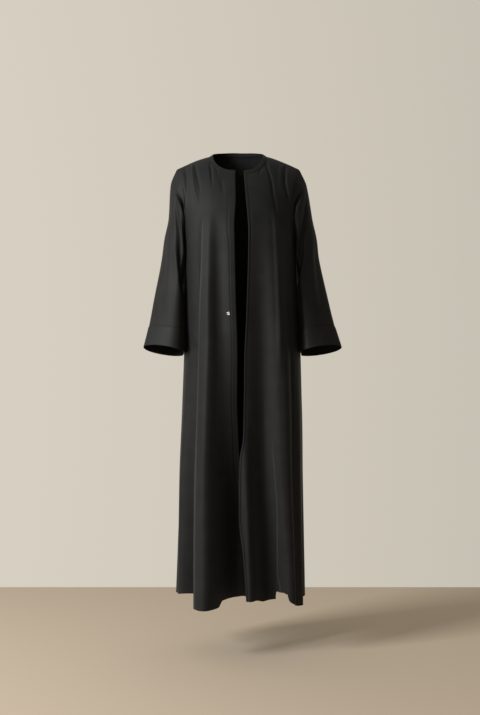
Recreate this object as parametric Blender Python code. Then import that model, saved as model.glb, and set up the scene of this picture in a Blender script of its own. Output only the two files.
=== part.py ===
"""Open-front abaya cloak in smooth black crepe, worn open over a general figure that isn't there.

Metres, +Z up. The front faces -Y and the wearer's left is +X. The origin is the top of the neck band
at the centre back, where the cloak hangs from the wearer's nape.

Every panel is one surface, worked out from a section of the body at each height, the neckline, the
shoulder seam and the armhole, and then draped with the rows of the fold table. A cloth wall is that
surface and the same surface moved in by the thickness of the cloth.
"""

import math

import bpy
import numpy as np

# Cloth thickness, and the gap that parts the pieces at each seam
CREPE = 0.0016
FOLDED_CREPE = 0.0026
SEAM_GAP = 0.0003

# Sizes of the cut, as it hangs
HEM_Z = -1.372
UNDERARM_Z = -0.295
SHOULDER_HALF = 0.187
SHOULDER_Y = -0.060
SHOULDER_Z = -0.060
FRONT_BAND_RIGHT_WIDTH = 0.015
FRONT_BAND_LEFT_WIDTH = 0.005
BAND_PROUD = 0.0005
CUFF_PROUD = 0.0010
CUFF_SHARE = 0.115

# The press stud and its socket: size, place, and turned profiles as shares of radius and height
SNAP_RADIUS = 0.005
SNAP_HEIGHT = 0.0022
SNAP_LEVEL_Z = -0.505
SNAP_FROM_EDGE = 0.0235
SNAP_SEGMENTS = 24
SNAP_STANDOFF = 1.5 * SEAM_GAP
STUD_PROFILE = (
    (0, 0), (0.90, 0), (1.0, 0.18), (1.0, 0.55), (0.88, 0.80), (0.66, 0.80), (0.56, 0.45),
    (0.34, 0.50), (0.22, 1.0), (0, 1.0),
)
SOCKET_PROFILE = (
    (0, 0), (0.92, 0), (1.0, 0.15), (1.0, 0.45), (0.85, 0.70), (0.55, 0.70), (0.45, 0.40), (0, 0.40),
)

# Roundness of the body section and of the neckline: 2 is an ellipse, more is squarer
SECTION_ROUND = 2.3
NECK_ROUND = 2.2
# Share of a half front or half back, across its top, that belongs to the neckline
NECK_SHARE = 0.34
# How the cloth rounds over from the underarm to its top: how softly it starts, power on the rise, power
# on the reach
ROUND_START = 0.15
BLADES_OVER = (2.1, 1.25)
BLADES_SHARE = 0.7
BLADES_SHOULDER_OVER = (1.35, 2.2)
SHOULDER_OVER = (1.35, 1.65)
# Powers: drop of the shoulder seam, spread of the columns with the rise, how close to the top the
# corner at the high shoulder point is held, how close to its edge the armhole pulls, how much closer the
# front one pulls at the underarm, and how the lift of the hem dies out
SHOULDER_DROP = 1.25
SPREAD = 5
CORNER_HOLD = 6
ARMHOLE_PULL = 2.5
UNDERARM_PULL = 5
LIFT_FADE = 3
# Powers of a fold's crest: rolled, on the steep side of a hook, and pressed to an edge
SOFT_CREST = 2.0
STEEP_CREST = 0.7
EDGE_CREST = 1.6

# Grid of the cloth: rows from hem to underarm and from underarm to shoulder, columns across
ROWS_LOW = 10
ROWS_HIGH = 10
COLUMNS_BAND = 2
COLUMNS_NECK = 10
COLUMNS_SHOULDER = 20
ROWS_SLEEVE = 12
ROWS_CUFF = 3
MEASURING_COLUMNS = 60
# Cut edges turn sharply and the cloth doesn't; so do the rims of the snaps
CLOTH_SHARP = math.radians(50)
SNAP_SHARP = math.radians(35)

# The body section at each height, about its own centre line
SECTION_COLUMNS = ("height", "half_width", "front", "side", "back", "centre")
SECTIONS = (
    (-1.372, 0.1900, -0.192, -0.050, 0.080, 0.0060),
    (-1.010, 0.1870, -0.198, -0.052, 0.076, 0.0075),
    (-0.790, 0.1830, -0.204, -0.053, 0.069, 0.0120),
    (-0.610, 0.1775, -0.208, -0.054, 0.062, 0.0130),
    (-0.460, 0.1730, -0.209, -0.055, 0.056, 0.0090),
    (-0.295, 0.1690, -0.204, -0.056, 0.050, 0.0060),
    (-0.090, 0.1690, -0.204, -0.056, 0.050, 0.0000),
)

# The armhole edge, from underarm to shoulder point
ARMHOLE_COLUMNS = ("rise", "half_width", "front", "back")
ARMHOLE = (
    (0.00, 0.1690, -0.056, -0.056),
    (0.10, 0.1675, -0.088, -0.026),
    (0.30, 0.1635, -0.111, -0.006),
    (0.55, 0.1625, -0.115, -0.001),
    (0.80, 0.1715, -0.101, -0.013),
    (1.00, 0.1870, -0.060, -0.060),
)

# The neckline at the seam of the neck band, and at the band's own upper edge, each as
# half_width, side_y, side_z, front_y, front_z, back_y, back_z
NECK_SEAM = (0.0865, -0.062, -0.0215, -0.1235, -0.0825, 0.0030, -0.0110)
NECK_EDGE = (0.0763, -0.062, -0.0155, -0.1180, -0.0720, 0.0000, 0.0000)

# Where each front edge runs, as x from the body's centre line
FRONT_EDGE_COLUMNS = ("height", "right", "left")
FRONT_EDGES = (
    (-1.372, 0.0300, 0.0178),
    (-1.230, 0.0220, 0.0076),
    (-1.110, 0.0140, -0.0045),
    (-1.030, 0.0080, -0.0050),
    (-0.936, -0.0050, -0.0040),
    (-0.877, -0.0092, 0.0040),
    (-0.759, -0.0149, 0.0052),
    (-0.630, -0.0145, 0.0061),
    (-0.488, -0.0150, 0.0159),
    (-0.347, -0.0155, 0.0231),
    (-0.253, -0.0154, 0.0256),
    (-0.159, -0.0088, 0.0212),
    (-0.075, -0.0081, 0.0172),
)

# Bearings are in degrees from straight front, negative on the wearer's right, 180 at the centre back.
# A fold starts at its top height and reaches its depth and its lean at the hem. Lean shifts the crest
# along the cloth, away from the centre.
# name, bearing at the top, at the knee and at the hem, half width in degrees on the side nearer the
# centre front and on the other, depth, lean, top height, power of its growth from the top, power of its
# fading towards the hem, shape
FOLDS = (
    ("right_underlap", -1, -1, -1, 30, 27, -0.074, 0.000, -0.560, 0.9, 0, "soft"),
    ("right_valley", -24, -23, -20, 14, 9, -0.072, 0.000, -0.200, 0.9, 1.5, "soft"),
    ("right_front_fold", -33, -31, -29, 21, 14, 0.058, 0.000, -0.200, 0.9, 0, "hook"),
    ("right_front_edge", -41, -42, -40, 6, 6, 0.008, 0.000, -0.200, 0.6, 0, "edge"),
    ("right_behind_fold", -50, -54, -50, 12, 18, -0.038, -0.010, -0.590, 0.65, 0, "soft"),
    ("right_side_fold", -72, -71, -68, 12, 12, 0.010, 0.000, -0.630, 1.0, 0, "soft"),
    ("left_edge_roll", 3, 6, 9, 7, 7, 0.018, 0.000, -0.810, 0.8, 0, "soft"),
    ("left_edge_valley", 17, 21, 33, 21, 15, -0.034, 0.000, -0.215, 0.7, 0, "soft"),
    ("left_broad_fold", 39, 42, 50, 16, 16, 0.028, 0.000, -0.190, 0.6, 0, "soft"),
    ("left_front_edge", 28, 31, 36, 6, 6, 0.007, 0.006, -0.700, 0.8, 0, "edge"),
    ("left_behind_fold", 57, 54, 56, 6, 6, -0.010, 0.000, -0.240, 0.9, 0, "soft"),
    ("left_side_fold", 67, 68, 68, 10, 10, 0.014, 0.000, -0.630, 1.0, 0, "soft"),
    ("back_fold_1", 104, 106, 108, 13, 13, 0.022, 0.000, -0.510, 0.9, 0, "soft"),
    ("back_valley_1", 121, 122, 124, 10, 10, -0.020, 0.000, -0.350, 0.9, 0, "soft"),
    ("back_fold_2", 133, 137, 141, 14, 14, 0.030, 0.004, -0.290, 0.8, 0, "soft"),
    ("back_valley_2", 151, 155, 159, 12, 12, -0.030, 0.000, -0.350, 0.9, 0, "soft"),
    ("back_fold_3", 168, 173, 178, 15, 15, 0.028, 0.000, -0.310, 0.8, 0, "soft"),
    ("back_valley_3", -170, -166, -161, 12, 12, -0.028, 0.000, -0.410, 0.9, 0, "soft"),
    ("back_fold_4", -154, -149, -144, 13, 13, 0.032, 0.004, -0.270, 0.8, 0, "soft"),
    ("back_valley_4", -137, -132, -127, 11, 11, -0.024, 0.000, -0.350, 0.9, 0, "soft"),
    ("back_fold_5", -116, -114, -110, 13, 13, 0.022, 0.000, -0.470, 0.9, 0, "soft"),
)
KNEE_SHARE = 0.5

# How far the hem hangs above its lowest level, round the body
HEM_COLUMNS = ("bearing", "lift")
HEM_LIFT = (
    (-180, 0.000), (-120, 0.004), (-90, 0.017), (-72, 0.026), (-60, 0.030), (-50, 0.030),
    (-41, 0.002), (-30, 0.000), (-19, 0.002), (-16, 0.019), (-4, 0.018), (5, 0.021), (14, 0.021),
    (24, 0.014), (36, 0.017), (38, 0.040), (43.5, 0.040), (45.5, 0.016), (50, 0.006), (64, -0.006),
    (78, -0.006), (90, 0.000), (180, 0.000),
)

# The sleeve's outline, seen from the front and about the body's centre line. left_more and left_back are
# how much further out and further back the wearer's left sleeve hangs.
SLEEVE_COLUMNS = (
    "along", "outer_x", "outer_z", "inner_x", "inner_z", "middle_y", "half_depth", "left_more", "left_back",
)
SLEEVE = (
    (0.00, 0.1870, -0.060, 0.1690, -0.295, -0.058, 0.058, 0.0020, 0.000),
    (0.10, 0.2067, -0.110, 0.1660, -0.310, -0.057, 0.064, 0.0035, 0.002),
    (0.27, 0.2161, -0.210, 0.1590, -0.345, -0.057, 0.072, 0.0078, 0.006),
    (0.38, 0.2310, -0.275, 0.1600, -0.377, -0.058, 0.076, 0.0050, 0.010),
    (0.50, 0.2400, -0.336, 0.1620, -0.410, -0.060, 0.077, 0.0018, 0.013),
    (0.73, 0.2644, -0.458, 0.1650, -0.485, -0.073, 0.074, 0.0018, 0.014),
    (0.86, 0.2789, -0.530, 0.1670, -0.545, -0.086, 0.066, 0.0016, 0.014),
    (1.00, 0.2972, -0.604, 0.1700, -0.622, -0.108, 0.058, 0.0028, 0.014),
)
# How far the sleeve stays clear of the body that it wraps, how softly it meets that limit, and the
# share of its length over which this sets in below the armhole
SLEEVE_CLEAR = 0.0030
SLEEVE_SOFT = 0.0030
SLEEVE_CLEAR_FROM = 0.10
# How far the fullest part of its section is turned from the front towards the body, and how far the
# mouth tilts, with the power of that tilt's growth from the armhole
SLEEVE_SKEW = math.radians(32)
MOUTH_TILT = 0.028
MOUTH_TILT_GROWTH = 3
# Share of the sleeve's length over which its rings keep the armhole's shape, and how that fades
CAP_SHARE = 0.34
CAP_FADE = 1.6
SLEEVE_FOLD_FADE = 1.3
# How soon, as their facings part, the sleeve's seam edge follows the sleeve instead of the panel
SEAM_TURN = 2

# Sleeve folds run down the sleeve through three places. around is in degrees, 0 on the outer side and
# 90 at the front; along is the share of the sleeve's length.
# name, sleeve (-1 right, 1 left, 0 both), along at its top, middle and end, around at those three,
# half width in degrees towards a smaller and towards a larger around, depth
SLEEVE_FOLDS = (
    ("right_front_groove", -1, 0.05, 0.29, 0.66, 36, 92, 150, 24, 80, -0.005),
    ("left_front_groove", 1, 0.12, 0.32, 0.54, 30, 100, 155, 24, 80, -0.005),
    ("front_ridge", 0, 0.20, 0.48, 0.88, 34, 66, 92, 24, 28, 0.004),
    ("elbow_groove", 0, 0.28, 0.50, 0.74, 250, 226, 200, 26, 26, -0.009),
    ("back_groove", 0, 0.06, 0.22, 0.42, 300, 280, 255, 22, 22, -0.006),
)


def column(names, rows, name):
    """One named column of a table."""
    return np.array([row[names.index(name)] for row in rows], float)


def curve(knots, values, at):
    """Smooth curve through the points of a table column, which never overshoots them."""
    step = np.diff(knots)
    slope = np.diff(values) / step
    tangent = np.zeros(len(knots))
    tangent[0] = slope[0]
    tangent[-1] = slope[-1]
    same_way = slope[:-1] * slope[1:] > 0
    mean = 2 * slope[:-1] * slope[1:] / np.where(same_way, slope[:-1] + slope[1:], 1)
    tangent[1:-1] = np.where(same_way, mean, 0)
    at = np.clip(at, knots[0], knots[-1])
    i = np.clip(np.searchsorted(knots, at) - 1, 0, len(step) - 1)
    u = (at - knots[i]) / step[i]
    return (
        values[i] * (1 + 2 * u) * (1 - u) ** 2
        + tangent[i] * step[i] * u * (1 - u) ** 2
        + values[i + 1] * u**2 * (3 - 2 * u)
        - tangent[i + 1] * step[i] * u**2 * (1 - u)
    )


def section(name, height):
    return curve(column(SECTION_COLUMNS, SECTIONS, "height"), column(SECTION_COLUMNS, SECTIONS, name), height)


def armhole(name, rise):
    return curve(column(ARMHOLE_COLUMNS, ARMHOLE, "rise"), column(ARMHOLE_COLUMNS, ARMHOLE, name), rise)


def rounded(share, power):
    """Falls from 1 to 0 as share goes from 0 to 1, along a quarter of a rounded square."""
    return (1 - np.clip(np.abs(share), 0, 1) ** power) ** (1 / power)


def eased(share, power):
    """A power of a share from 0 to 1 that starts with a round bend."""
    start = ROUND_START**power
    return ((share**2 + ROUND_START**2) ** (power / 2) - start) / ((1 + ROUND_START**2) ** (power / 2) - start)


def unit(vectors):
    return vectors / np.maximum(np.linalg.norm(vectors, axis=-1, keepdims=True), 1e-12)


def edge_x(side, face, height):
    """x of the centre edge of a half front or half back, counted towards its own side."""
    if face == "back":
        return np.zeros_like(height)
    name = "left" if side > 0 else "right"
    heights = column(FRONT_EDGE_COLUMNS, FRONT_EDGES, "height")
    return side * curve(heights, column(FRONT_EDGE_COLUMNS, FRONT_EDGES, name), height)


def neckline(sizes, side, face, turn):
    """A point of the neckline. turn is 0 at the centre edge and a quarter turn at the shoulder seam."""
    half_width, side_y, side_z, front_y, front_z, back_y, back_z = sizes
    centre_y, centre_z = (front_y, front_z) if face == "front" else (back_y, back_z)
    start = edge_x(side, face, np.full_like(turn, centre_z))
    x = start + (half_width - start) * np.sin(turn)
    y = side_y + (centre_y - side_y) * np.cos(turn)
    z = side_z + (centre_z - side_z) * rounded(np.sin(turn), NECK_ROUND)
    return x, y, z


def top_line(side, face, across):
    """The neck band's seam and then the shoulder seam."""
    turn = np.clip(across / NECK_SHARE, 0, 1) * math.pi / 2
    x, y, z = neckline(NECK_SEAM, side, face, turn)
    out = np.clip((across - NECK_SHARE) / (1 - NECK_SHARE), 0, 1)
    x = x + (SHOULDER_HALF - NECK_SEAM[0]) * out
    y = y + (SHOULDER_Y - NECK_SEAM[1]) * out
    z = z + (SHOULDER_Z - NECK_SEAM[2]) * out**SHOULDER_DROP
    return x, y, z


def section_point(side, face, across, height):
    """A point of the undraped body section: x towards its own side, y, and the bearing in degrees."""
    half_width = section("half_width", height)
    start = np.arcsin(edge_x(side, face, height) / half_width)
    angle = start + (math.pi / 2 - start) * across
    x = half_width * np.sin(angle)
    side_y = section("side", height)
    y = side_y + (section(face, height) - side_y) * rounded(np.sin(angle), SECTION_ROUND)
    degrees = np.degrees(angle)
    return x, y, degrees if face == "front" else 180 - degrees


def hem_lift(side, bearing):
    bearings = column(HEM_COLUMNS, HEM_LIFT, "bearing")
    return curve(bearings, column(HEM_COLUMNS, HEM_LIFT, "lift"), side * bearing)


def undraped(side, face, across, level):
    """The cloth before its folds, and each point's bearing and height.

    across is 0 at the centre edge and 1 at the side seam and armhole. level is 0 at the hem, 1 at the
    underarm and 2 at the neckline and shoulder seam.
    """
    low = np.minimum(level, 1)
    rise = np.clip(level - 1, 0, 1)
    height = HEM_Z + (UNDERARM_Z - HEM_Z) * low + 0 * across
    x_low, y_low, bearing = section_point(side, face, across, height)
    z_low = height + hem_lift(side, bearing) * (1 - low) ** LIFT_FADE

    top_x, top_y, top_z = top_line(side, face, across)
    z = np.where(level > 1, UNDERARM_Z + (top_z - UNDERARM_Z) * rise, z_low)
    centre_z = UNDERARM_Z + (top_line(side, face, np.zeros(1))[2] - UNDERARM_Z) * rise
    centre_x = edge_x(side, face, centre_z)
    reach = armhole("half_width", rise)
    under_x = edge_x(side, face, np.full(1, UNDERARM_Z))
    share_low = (x_low - under_x) / (armhole("half_width", np.zeros(1)) - under_x)
    share_top = (top_x - top_x.min()) / (SHOULDER_HALF - top_x.min())
    share = share_low + (share_top - share_low) * rise**SPREAD
    x = np.where(level > 1, centre_x + (reach - centre_x) * share, x_low)

    if face == "front":
        # The chest rounds over to the shoulder seam, and the neckline is a cut in that surface
        out = np.clip((x - NECK_SEAM[0]) / (SHOULDER_HALF - NECK_SEAM[0]), 0, 1)
        line_y = NECK_SEAM[1] + (SHOULDER_Y - NECK_SEAM[1]) * out
        line_z = NECK_SEAM[2] + (SHOULDER_Z - NECK_SEAM[2]) * out**SHOULDER_DROP
        share_up = np.clip((z - UNDERARM_Z) / (line_z - UNDERARM_Z), 0, 1)
        on_rise, on_reach = SHOULDER_OVER
    else:
        soft_y = SHOULDER_Y + (NECK_SEAM[5] - SHOULDER_Y) * np.cos(across * math.pi / 2)
        line_y = soft_y + (top_y - soft_y) * rise**CORNER_HOLD
        share_up = rise
        outward = np.clip(across / BLADES_SHARE, 0, 1)
        outward = outward**2 * (3 - 2 * outward)
        on_rise, on_reach = (a + (b - a) * outward for a, b in zip(BLADES_OVER, BLADES_SHOULDER_OVER))
    free_y = line_y + (y_low - line_y) * (1 - eased(share_up, on_rise)) ** (1 / on_reach)
    power = ARMHOLE_PULL + (UNDERARM_PULL * (1 - rise) ** 2 if face == "front" else 0)
    pull = (armhole(face, rise) - free_y[:, -1:]) * across**power
    y = np.where(level > 1, free_y + pull, y_low)
    return np.stack([x, y, z], axis=-1), bearing


def crest(distance, shape):
    """Height of a fold across its width, 1 on its crest and 0 from one half width away.

    A soft fold rolls, a hook drops steeply on its side away from the centre front, where distance is
    above 0, and an edge is pressed to a ridge.
    """
    u = np.clip(np.abs(distance), 0, 1)
    if shape == "edge":
        return (1 - u) ** EDGE_CREST
    steep = (shape == "hook") & (distance > 0)
    return np.cos(u * math.pi / 2) ** np.where(steep, STEEP_CREST, SOFT_CREST)


def drape(side, bearing, height):
    """How far the folds move the cloth outwards, and along towards the side."""
    outwards = np.zeros_like(bearing)
    along = np.zeros_like(bearing)
    for name, top, knee, hem, inner_width, outer_width, depth, lean, top_height, growth, fade, shape in FOLDS:
        # Each front keeps the folds of its own side, because the two overlap
        if abs(hem) < 90 and side * hem < 0:
            continue
        fall = np.clip((top_height - height) / (top_height - HEM_Z), 0, 1)
        middle = curve(np.array([0, KNEE_SHARE, 1.0]), np.array([top, knee, hem], float), fall)
        distance = ((side * bearing - middle + 180) % 360 - 180) * np.sign(middle)
        half_width = np.where(distance < 0, inner_width, outer_width)
        size = crest(distance / half_width, shape) * fall**growth * (1 - fall) ** fade
        outwards += depth * size
        along += lean * size
    return outwards, along


def normals(points, flip=False):
    """Outward normals of a grid of points."""
    across = np.gradient(points, axis=1)
    up = np.gradient(points, axis=0)
    normal = unit(np.cross(across, up))
    return -normal if flip else normal


def clear_of_body(points, side, along):
    """Moves sleeve rings out to lie just clear of the body section that they wrap."""
    y, z = points[..., 1], points[..., 2]
    side_y = section("side", z)
    face_y = np.where(y < side_y, section("front", z), section("back", z))
    limit = section("half_width", z) * rounded((y - side_y) / (face_y - side_y), SECTION_ROUND) + SLEEVE_CLEAR
    own = side * (points[..., 0] - section("centre", z))
    kept = (own + limit + np.sqrt((own - limit) ** 2 + SLEEVE_SOFT**2)) / 2
    share = np.clip(along / SLEEVE_CLEAR_FROM, 0, 1)[:, None]
    points = points.copy()
    points[..., 0] += side * (kept - own) * share * share * (3 - 2 * share)
    return points


def sleeve_drape(folds, side, around, along):
    """How far folds of the sleeve move its cloth outwards."""
    out = np.zeros(np.broadcast(around, along).shape)
    for name, where, top, middle, end, at_top, at_middle, at_end, smaller, larger, depth in folds:
        if where * side < 0:
            continue
        centre = curve(np.array([top, middle, end]), np.array([at_top, at_middle, at_end], float), along)
        distance = (around - centre + 180) % 360 - 180
        half_width = np.where(distance < 0, smaller, larger)
        share = np.clip((along - top) / (end - top), 0, 1)
        out += depth * crest(distance / half_width, "soft") * np.sin(math.pi * share) ** SLEEVE_FOLD_FADE
    return out


def sleeve_rings(side, rim, around, along):
    """Rings of the sleeve from the armhole to the mouth. Each ring starts on the outer side."""
    def size(name):
        return curve(column(SLEEVE_COLUMNS, SLEEVE, "along"), column(SLEEVE_COLUMNS, SLEEVE, name), along)

    outer_x = size("outer_x") + (size("left_more") if side > 0 else 0)
    middle_y = size("middle_y") + (size("left_back") if side > 0 else 0)
    outer = np.stack([outer_x, 0 * along, size("outer_z")], axis=-1)
    inner = np.stack([size("inner_x"), 0 * along, size("inner_z")], axis=-1)
    middle = (outer + inner) / 2 + np.stack([0 * along, middle_y, 0 * along], axis=-1)
    reach = (outer - inner) / 2
    points = middle[:, None] + reach[:, None] * np.cos(around)[None, :, None]
    # The section is fullest towards the body and slopes back to its outer side
    points[..., 1] -= size("half_depth")[:, None] * np.sin(around - SLEEVE_SKEW * np.sin(around))
    # The mouth tilts as the forearm comes forward: its back hangs lower than its front
    points[..., 2] += MOUTH_TILT / 2 * np.sin(around) * along[:, None] ** MOUTH_TILT_GROWTH
    points[..., 0] += side * section("centre", points[..., 2])
    out = sleeve_drape(SLEEVE_FOLDS, side, np.degrees(around)[None, :], along[:, None])
    turned = np.concatenate([points[:, -1:], points, points[:, :1]], axis=1)
    points = points + normals(turned)[:, 1:-1] * out[..., None]
    points[..., 0] *= side
    # The first rings take their shape from the armhole that they are sewn to
    fade = np.clip(1 - along / CAP_SHARE, 0, 1)[:, None, None] ** CAP_FADE
    points = points + (rim - points[0]) * fade
    return clear_of_body(points, side, along)


def across_columns():
    """across for each column of a whole front, from its free edge, without the band's own columns."""
    neck = np.linspace(0, NECK_SHARE, COLUMNS_NECK + 1)
    shoulder = np.linspace(NECK_SHARE, 1, COLUMNS_SHOULDER + 1)
    return neck, shoulder


def levels():
    low = np.linspace(0, 1, ROWS_LOW + 1)
    turn = np.linspace(0, math.pi, ROWS_HIGH + 1)[1:]
    return np.concatenate([low, 1 + (1 - np.cos(turn)) / 2])


def half_surface(side, face, band_width=0.0):
    """Rows from hem to top, columns from the centre edge to the side, as points in the object's frame."""
    neck, shoulder = across_columns()
    level = levels()[:, None]
    rows = len(level)
    if band_width:
        coarse = np.linspace(0, 1, MEASURING_COLUMNS)[None, :]
        steps = np.diff(undraped(side, face, coarse, level)[0], axis=1)
        length = np.linalg.norm(steps, axis=2).sum(axis=1)
        share = (band_width / length)[:, None]
        band = share * np.linspace(0, 1, COLUMNS_BAND + 1)
        rest = share + (NECK_SHARE - share) * neck / NECK_SHARE
        across = np.hstack([band, rest[:, 1:], np.tile(shoulder[1:], (rows, 1))])
    else:
        across = np.tile(np.concatenate([neck, shoulder[1:]]), (rows, 1))
    points, bearing = undraped(side, face, across, level)
    sideways = unit(np.gradient(points, axis=1))
    upwards = unit(np.gradient(points, axis=0))
    outward = unit(np.cross(sideways, upwards) if face == "front" else np.cross(upwards, sideways))
    out, along = drape(side, bearing, points[..., 2])
    points = points + outward * out[..., None] + sideways * along[..., None]
    points[..., 0] += section("centre", points[..., 2]) * side
    points[..., 0] *= side
    return points


def pulled_in(outer, inner, edges):
    """Moves the named edges of a wall back by half a seam gap."""
    outer = outer.copy()
    inner = inner.copy()
    for edge in edges:
        line, beside = {
            "bottom": ((0, slice(None)), (1, slice(None))),
            "top": ((-1, slice(None)), (-2, slice(None))),
            "start": ((slice(None), 0), (slice(None), 1)),
            "end": ((slice(None), -1), (slice(None), -2)),
        }[edge]
        inwards = outer[beside] - outer[line]
        tangent = unit(np.gradient(outer[line], axis=0))
        inwards = inwards - tangent * (inwards * tangent).sum(axis=-1, keepdims=True)
        outer[line] += unit(inwards) * SEAM_GAP / 2
        inner[line] += unit(inwards) * SEAM_GAP / 2
    return outer, inner


def cap_faces(points, quads):
    """Each quad of a cut edge as two triangles, along its shorter diagonal so that sewn edges match."""
    faces = []
    for a, b, c, d in quads:
        if np.linalg.norm(points[a] - points[c]) < np.linalg.norm(points[b] - points[d]):
            faces += [(a, b, c), (a, c, d)]
        else:
            faces += [(b, c, d), (b, d, a)]
    return faces


def wall(name, outer, inner, material, closed=False):
    """One closed body between two grids of points. A closed wall joins its last column to its first."""
    rows, columns = outer.shape[:2]
    count = rows * columns
    faces = []
    spans = columns if closed else columns - 1
    for r in range(rows - 1):
        for c in range(spans):
            d = (c + 1) % columns
            a, b = r * columns + c, r * columns + d
            e, f = a + columns, b + columns
            faces += [(a, b, f), (a, f, e)]
            faces += [(count + b, count + a, count + f), (count + a, count + e, count + f)]
    quads = []
    for row, turned in ((0, False), (rows - 1, True)):
        for c in range(spans):
            a, b = row * columns + c, row * columns + (c + 1) % columns
            quad = (b, a, count + a, count + b)
            quads.append(quad[::-1] if turned else quad)
    if not closed:
        for col, turned in ((0, True), (columns - 1, False)):
            for r in range(rows - 1):
                a, b = r * columns + col, (r + 1) * columns + col
                quad = (b, a, count + a, count + b)
                quads.append(quad[::-1] if turned else quad)
    points = np.concatenate([outer.reshape(-1, 3), inner.reshape(-1, 3)])
    mesh = bpy.data.meshes.new(name)
    mesh.from_pydata(points.tolist(), [], faces + cap_faces(points, quads))
    mesh.validate()
    mesh.shade_smooth()
    mesh.set_sharp_from_angle(angle=CLOTH_SHARP)
    mesh.materials.append(material)
    part = bpy.data.objects.new(name, mesh)
    bpy.context.scene.collection.objects.link(part)
    return part


def cloth(name, points, normal, thickness, material, edges, proud=0.0, closed=False):
    """A cloth wall whose outer face stands proud of the given surface."""
    outer = points + normal * proud
    inner = points + normal * (proud - thickness)
    outer, inner = pulled_in(outer, inner, edges)
    return wall(name, outer, inner, material, closed)


def body_surfaces():
    """Points and normals of both whole fronts and of the whole back, alike where they are sewn."""
    grids = {
        "front_right": half_surface(-1, "front", FRONT_BAND_RIGHT_WIDTH),
        "front_left": half_surface(1, "front", FRONT_BAND_LEFT_WIDTH),
    }
    back_right = half_surface(-1, "back")
    back_left = half_surface(1, "back")
    grids["back"] = np.concatenate([back_right[:, ::-1], back_left[:, 1:]], axis=1)
    facing = {
        "front_right": normals(grids["front_right"], flip=True),
        "front_left": normals(grids["front_left"]),
        "back": normals(grids["back"], flip=True),
    }
    for panel, (columns, rise) in neck_parts(grids).items():
        # The neck band stands at an angle to the panels, so its seam faces half way between them
        band_normal = unit(np.cross(np.gradient(grids[panel][-1, columns], axis=0), rise))
        band_normal *= 1 if panel == "front_left" else -1
        facing[panel][-1, columns] = unit(facing[panel][-1, columns] + band_normal)
    shoulder = COLUMNS_SHOULDER + 1
    for front, order in (("front_right", 1), ("front_left", -1)):
        # The shoulder seam and the side seam share one normal, so their cut edges are parallel
        back = facing["back"][:, ::order]
        seam = unit(facing[front][-1, -shoulder:] + back[-1, :shoulder][::-1])
        facing[front][-1, -shoulder:] = seam
        back[-1, :shoulder] = seam[::-1]
        low = slice(0, ROWS_LOW + 1)
        side = unit(facing[front][low, -1] + back[low, 0])
        facing[front][low, -1] = side
        back[low, 0] = side
    return grids, facing


def band_rise(side, face, turn):
    """From the neck band's seam to its upper edge."""
    return np.subtract(
        np.stack(neckline(NECK_EDGE, side, face, turn), axis=-1),
        np.stack(neckline(NECK_SEAM, side, face, turn), axis=-1),
    )


def neck_parts(grids):
    """For each panel, its columns along the neck band's seam and the way up from there to the band's edge."""
    parts = {}
    for front, side in (("front_right", -1), ("front_left", 1)):
        columns = slice(0, COLUMNS_BAND + COLUMNS_NECK + 1)
        x = np.abs(grids[front][-1, columns, 0])
        start = edge_x(side, "front", np.full(1, NECK_SEAM[4]))
        turn = np.arcsin(np.clip((x - start) / (NECK_SEAM[0] - start), 0, 1))
        parts[front] = columns, band_rise(side, "front", turn) * (side, 1, 1)
    middle = COLUMNS_NECK + COLUMNS_SHOULDER
    turn = np.linspace(-1, 1, 2 * COLUMNS_NECK + 1) * math.pi / 2
    mirrored = np.stack([np.sign(turn), turn**0, turn**0], axis=-1)
    columns = slice(middle - COLUMNS_NECK, middle + COLUMNS_NECK + 1)
    parts["back"] = columns, band_rise(1, "back", np.abs(turn)) * mirrored
    return parts


def neck_band(grids, facing, material):
    """The band from one front edge round the neck to the other."""
    lines = {}
    for panel, (columns, rise) in neck_parts(grids).items():
        seam = grids[panel][-1, columns]
        lines[panel] = seam, seam + rise, facing[panel][-1, columns]
    seam, edge, seam_normal = (
        np.concatenate([right[:-1], back, left[-2::-1]])[::-1]
        for right, back, left in zip(lines["front_right"], lines["back"], lines["front_left"])
    )
    points = np.stack([seam, (seam + edge) / 2, edge])
    normal = normals(points)
    normal[0] = seam_normal
    normal[1] = unit(normal[1] + 0.5 * seam_normal)
    return cloth("neck_band", points, normal, FOLDED_CREPE, material, ["bottom"], proud=BAND_PROUD)


def sleeve_surface(side, rim, rim_normal):
    """The sleeve's rings and their outward normals."""
    around = np.arange(len(rim)) * 2 * math.pi / len(rim)
    along = np.concatenate([
        np.linspace(0, 1 - CUFF_SHARE, ROWS_SLEEVE + 1),
        np.linspace(1 - CUFF_SHARE, 1, ROWS_CUFF + 1)[1:],
    ])
    points = sleeve_rings(side, rim, around, along)
    turned = np.concatenate([points[:, -1:], points, points[:, :1]], axis=1)
    normal = normals(turned, flip=side < 0)[:, 1:-1]
    # The seam faces as the panel does, but under the arm the sleeve turns back and faces the body
    agreed = np.clip(SEAM_TURN * (normal[0] * rim_normal).sum(axis=1), 0, 1)[:, None]
    normal[0] = unit(normal[0] * (1 - agreed) + rim_normal * agreed)
    return points, normal


def armhole_rim(grids, facing, side):
    """Points of the armhole seam from the shoulder point down the front and up the back."""
    front = "front_left" if side > 0 else "front_right"
    high = slice(ROWS_LOW, None)
    back_column = -1 if side > 0 else 0
    front_line = grids[front][high, -1][::-1]
    back_line = grids["back"][high, back_column]
    rim = np.concatenate([front_line, back_line[1:-1]])
    normal = np.concatenate([facing[front][high, -1][::-1], facing["back"][high, back_column][1:-1]])
    tangent = unit(np.roll(rim, -1, axis=0) - np.roll(rim, 1, axis=0))
    into_hole = unit(np.cross(normal, tangent)) * (1 if side > 0 else -1)
    return rim, normal, into_hole


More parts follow.
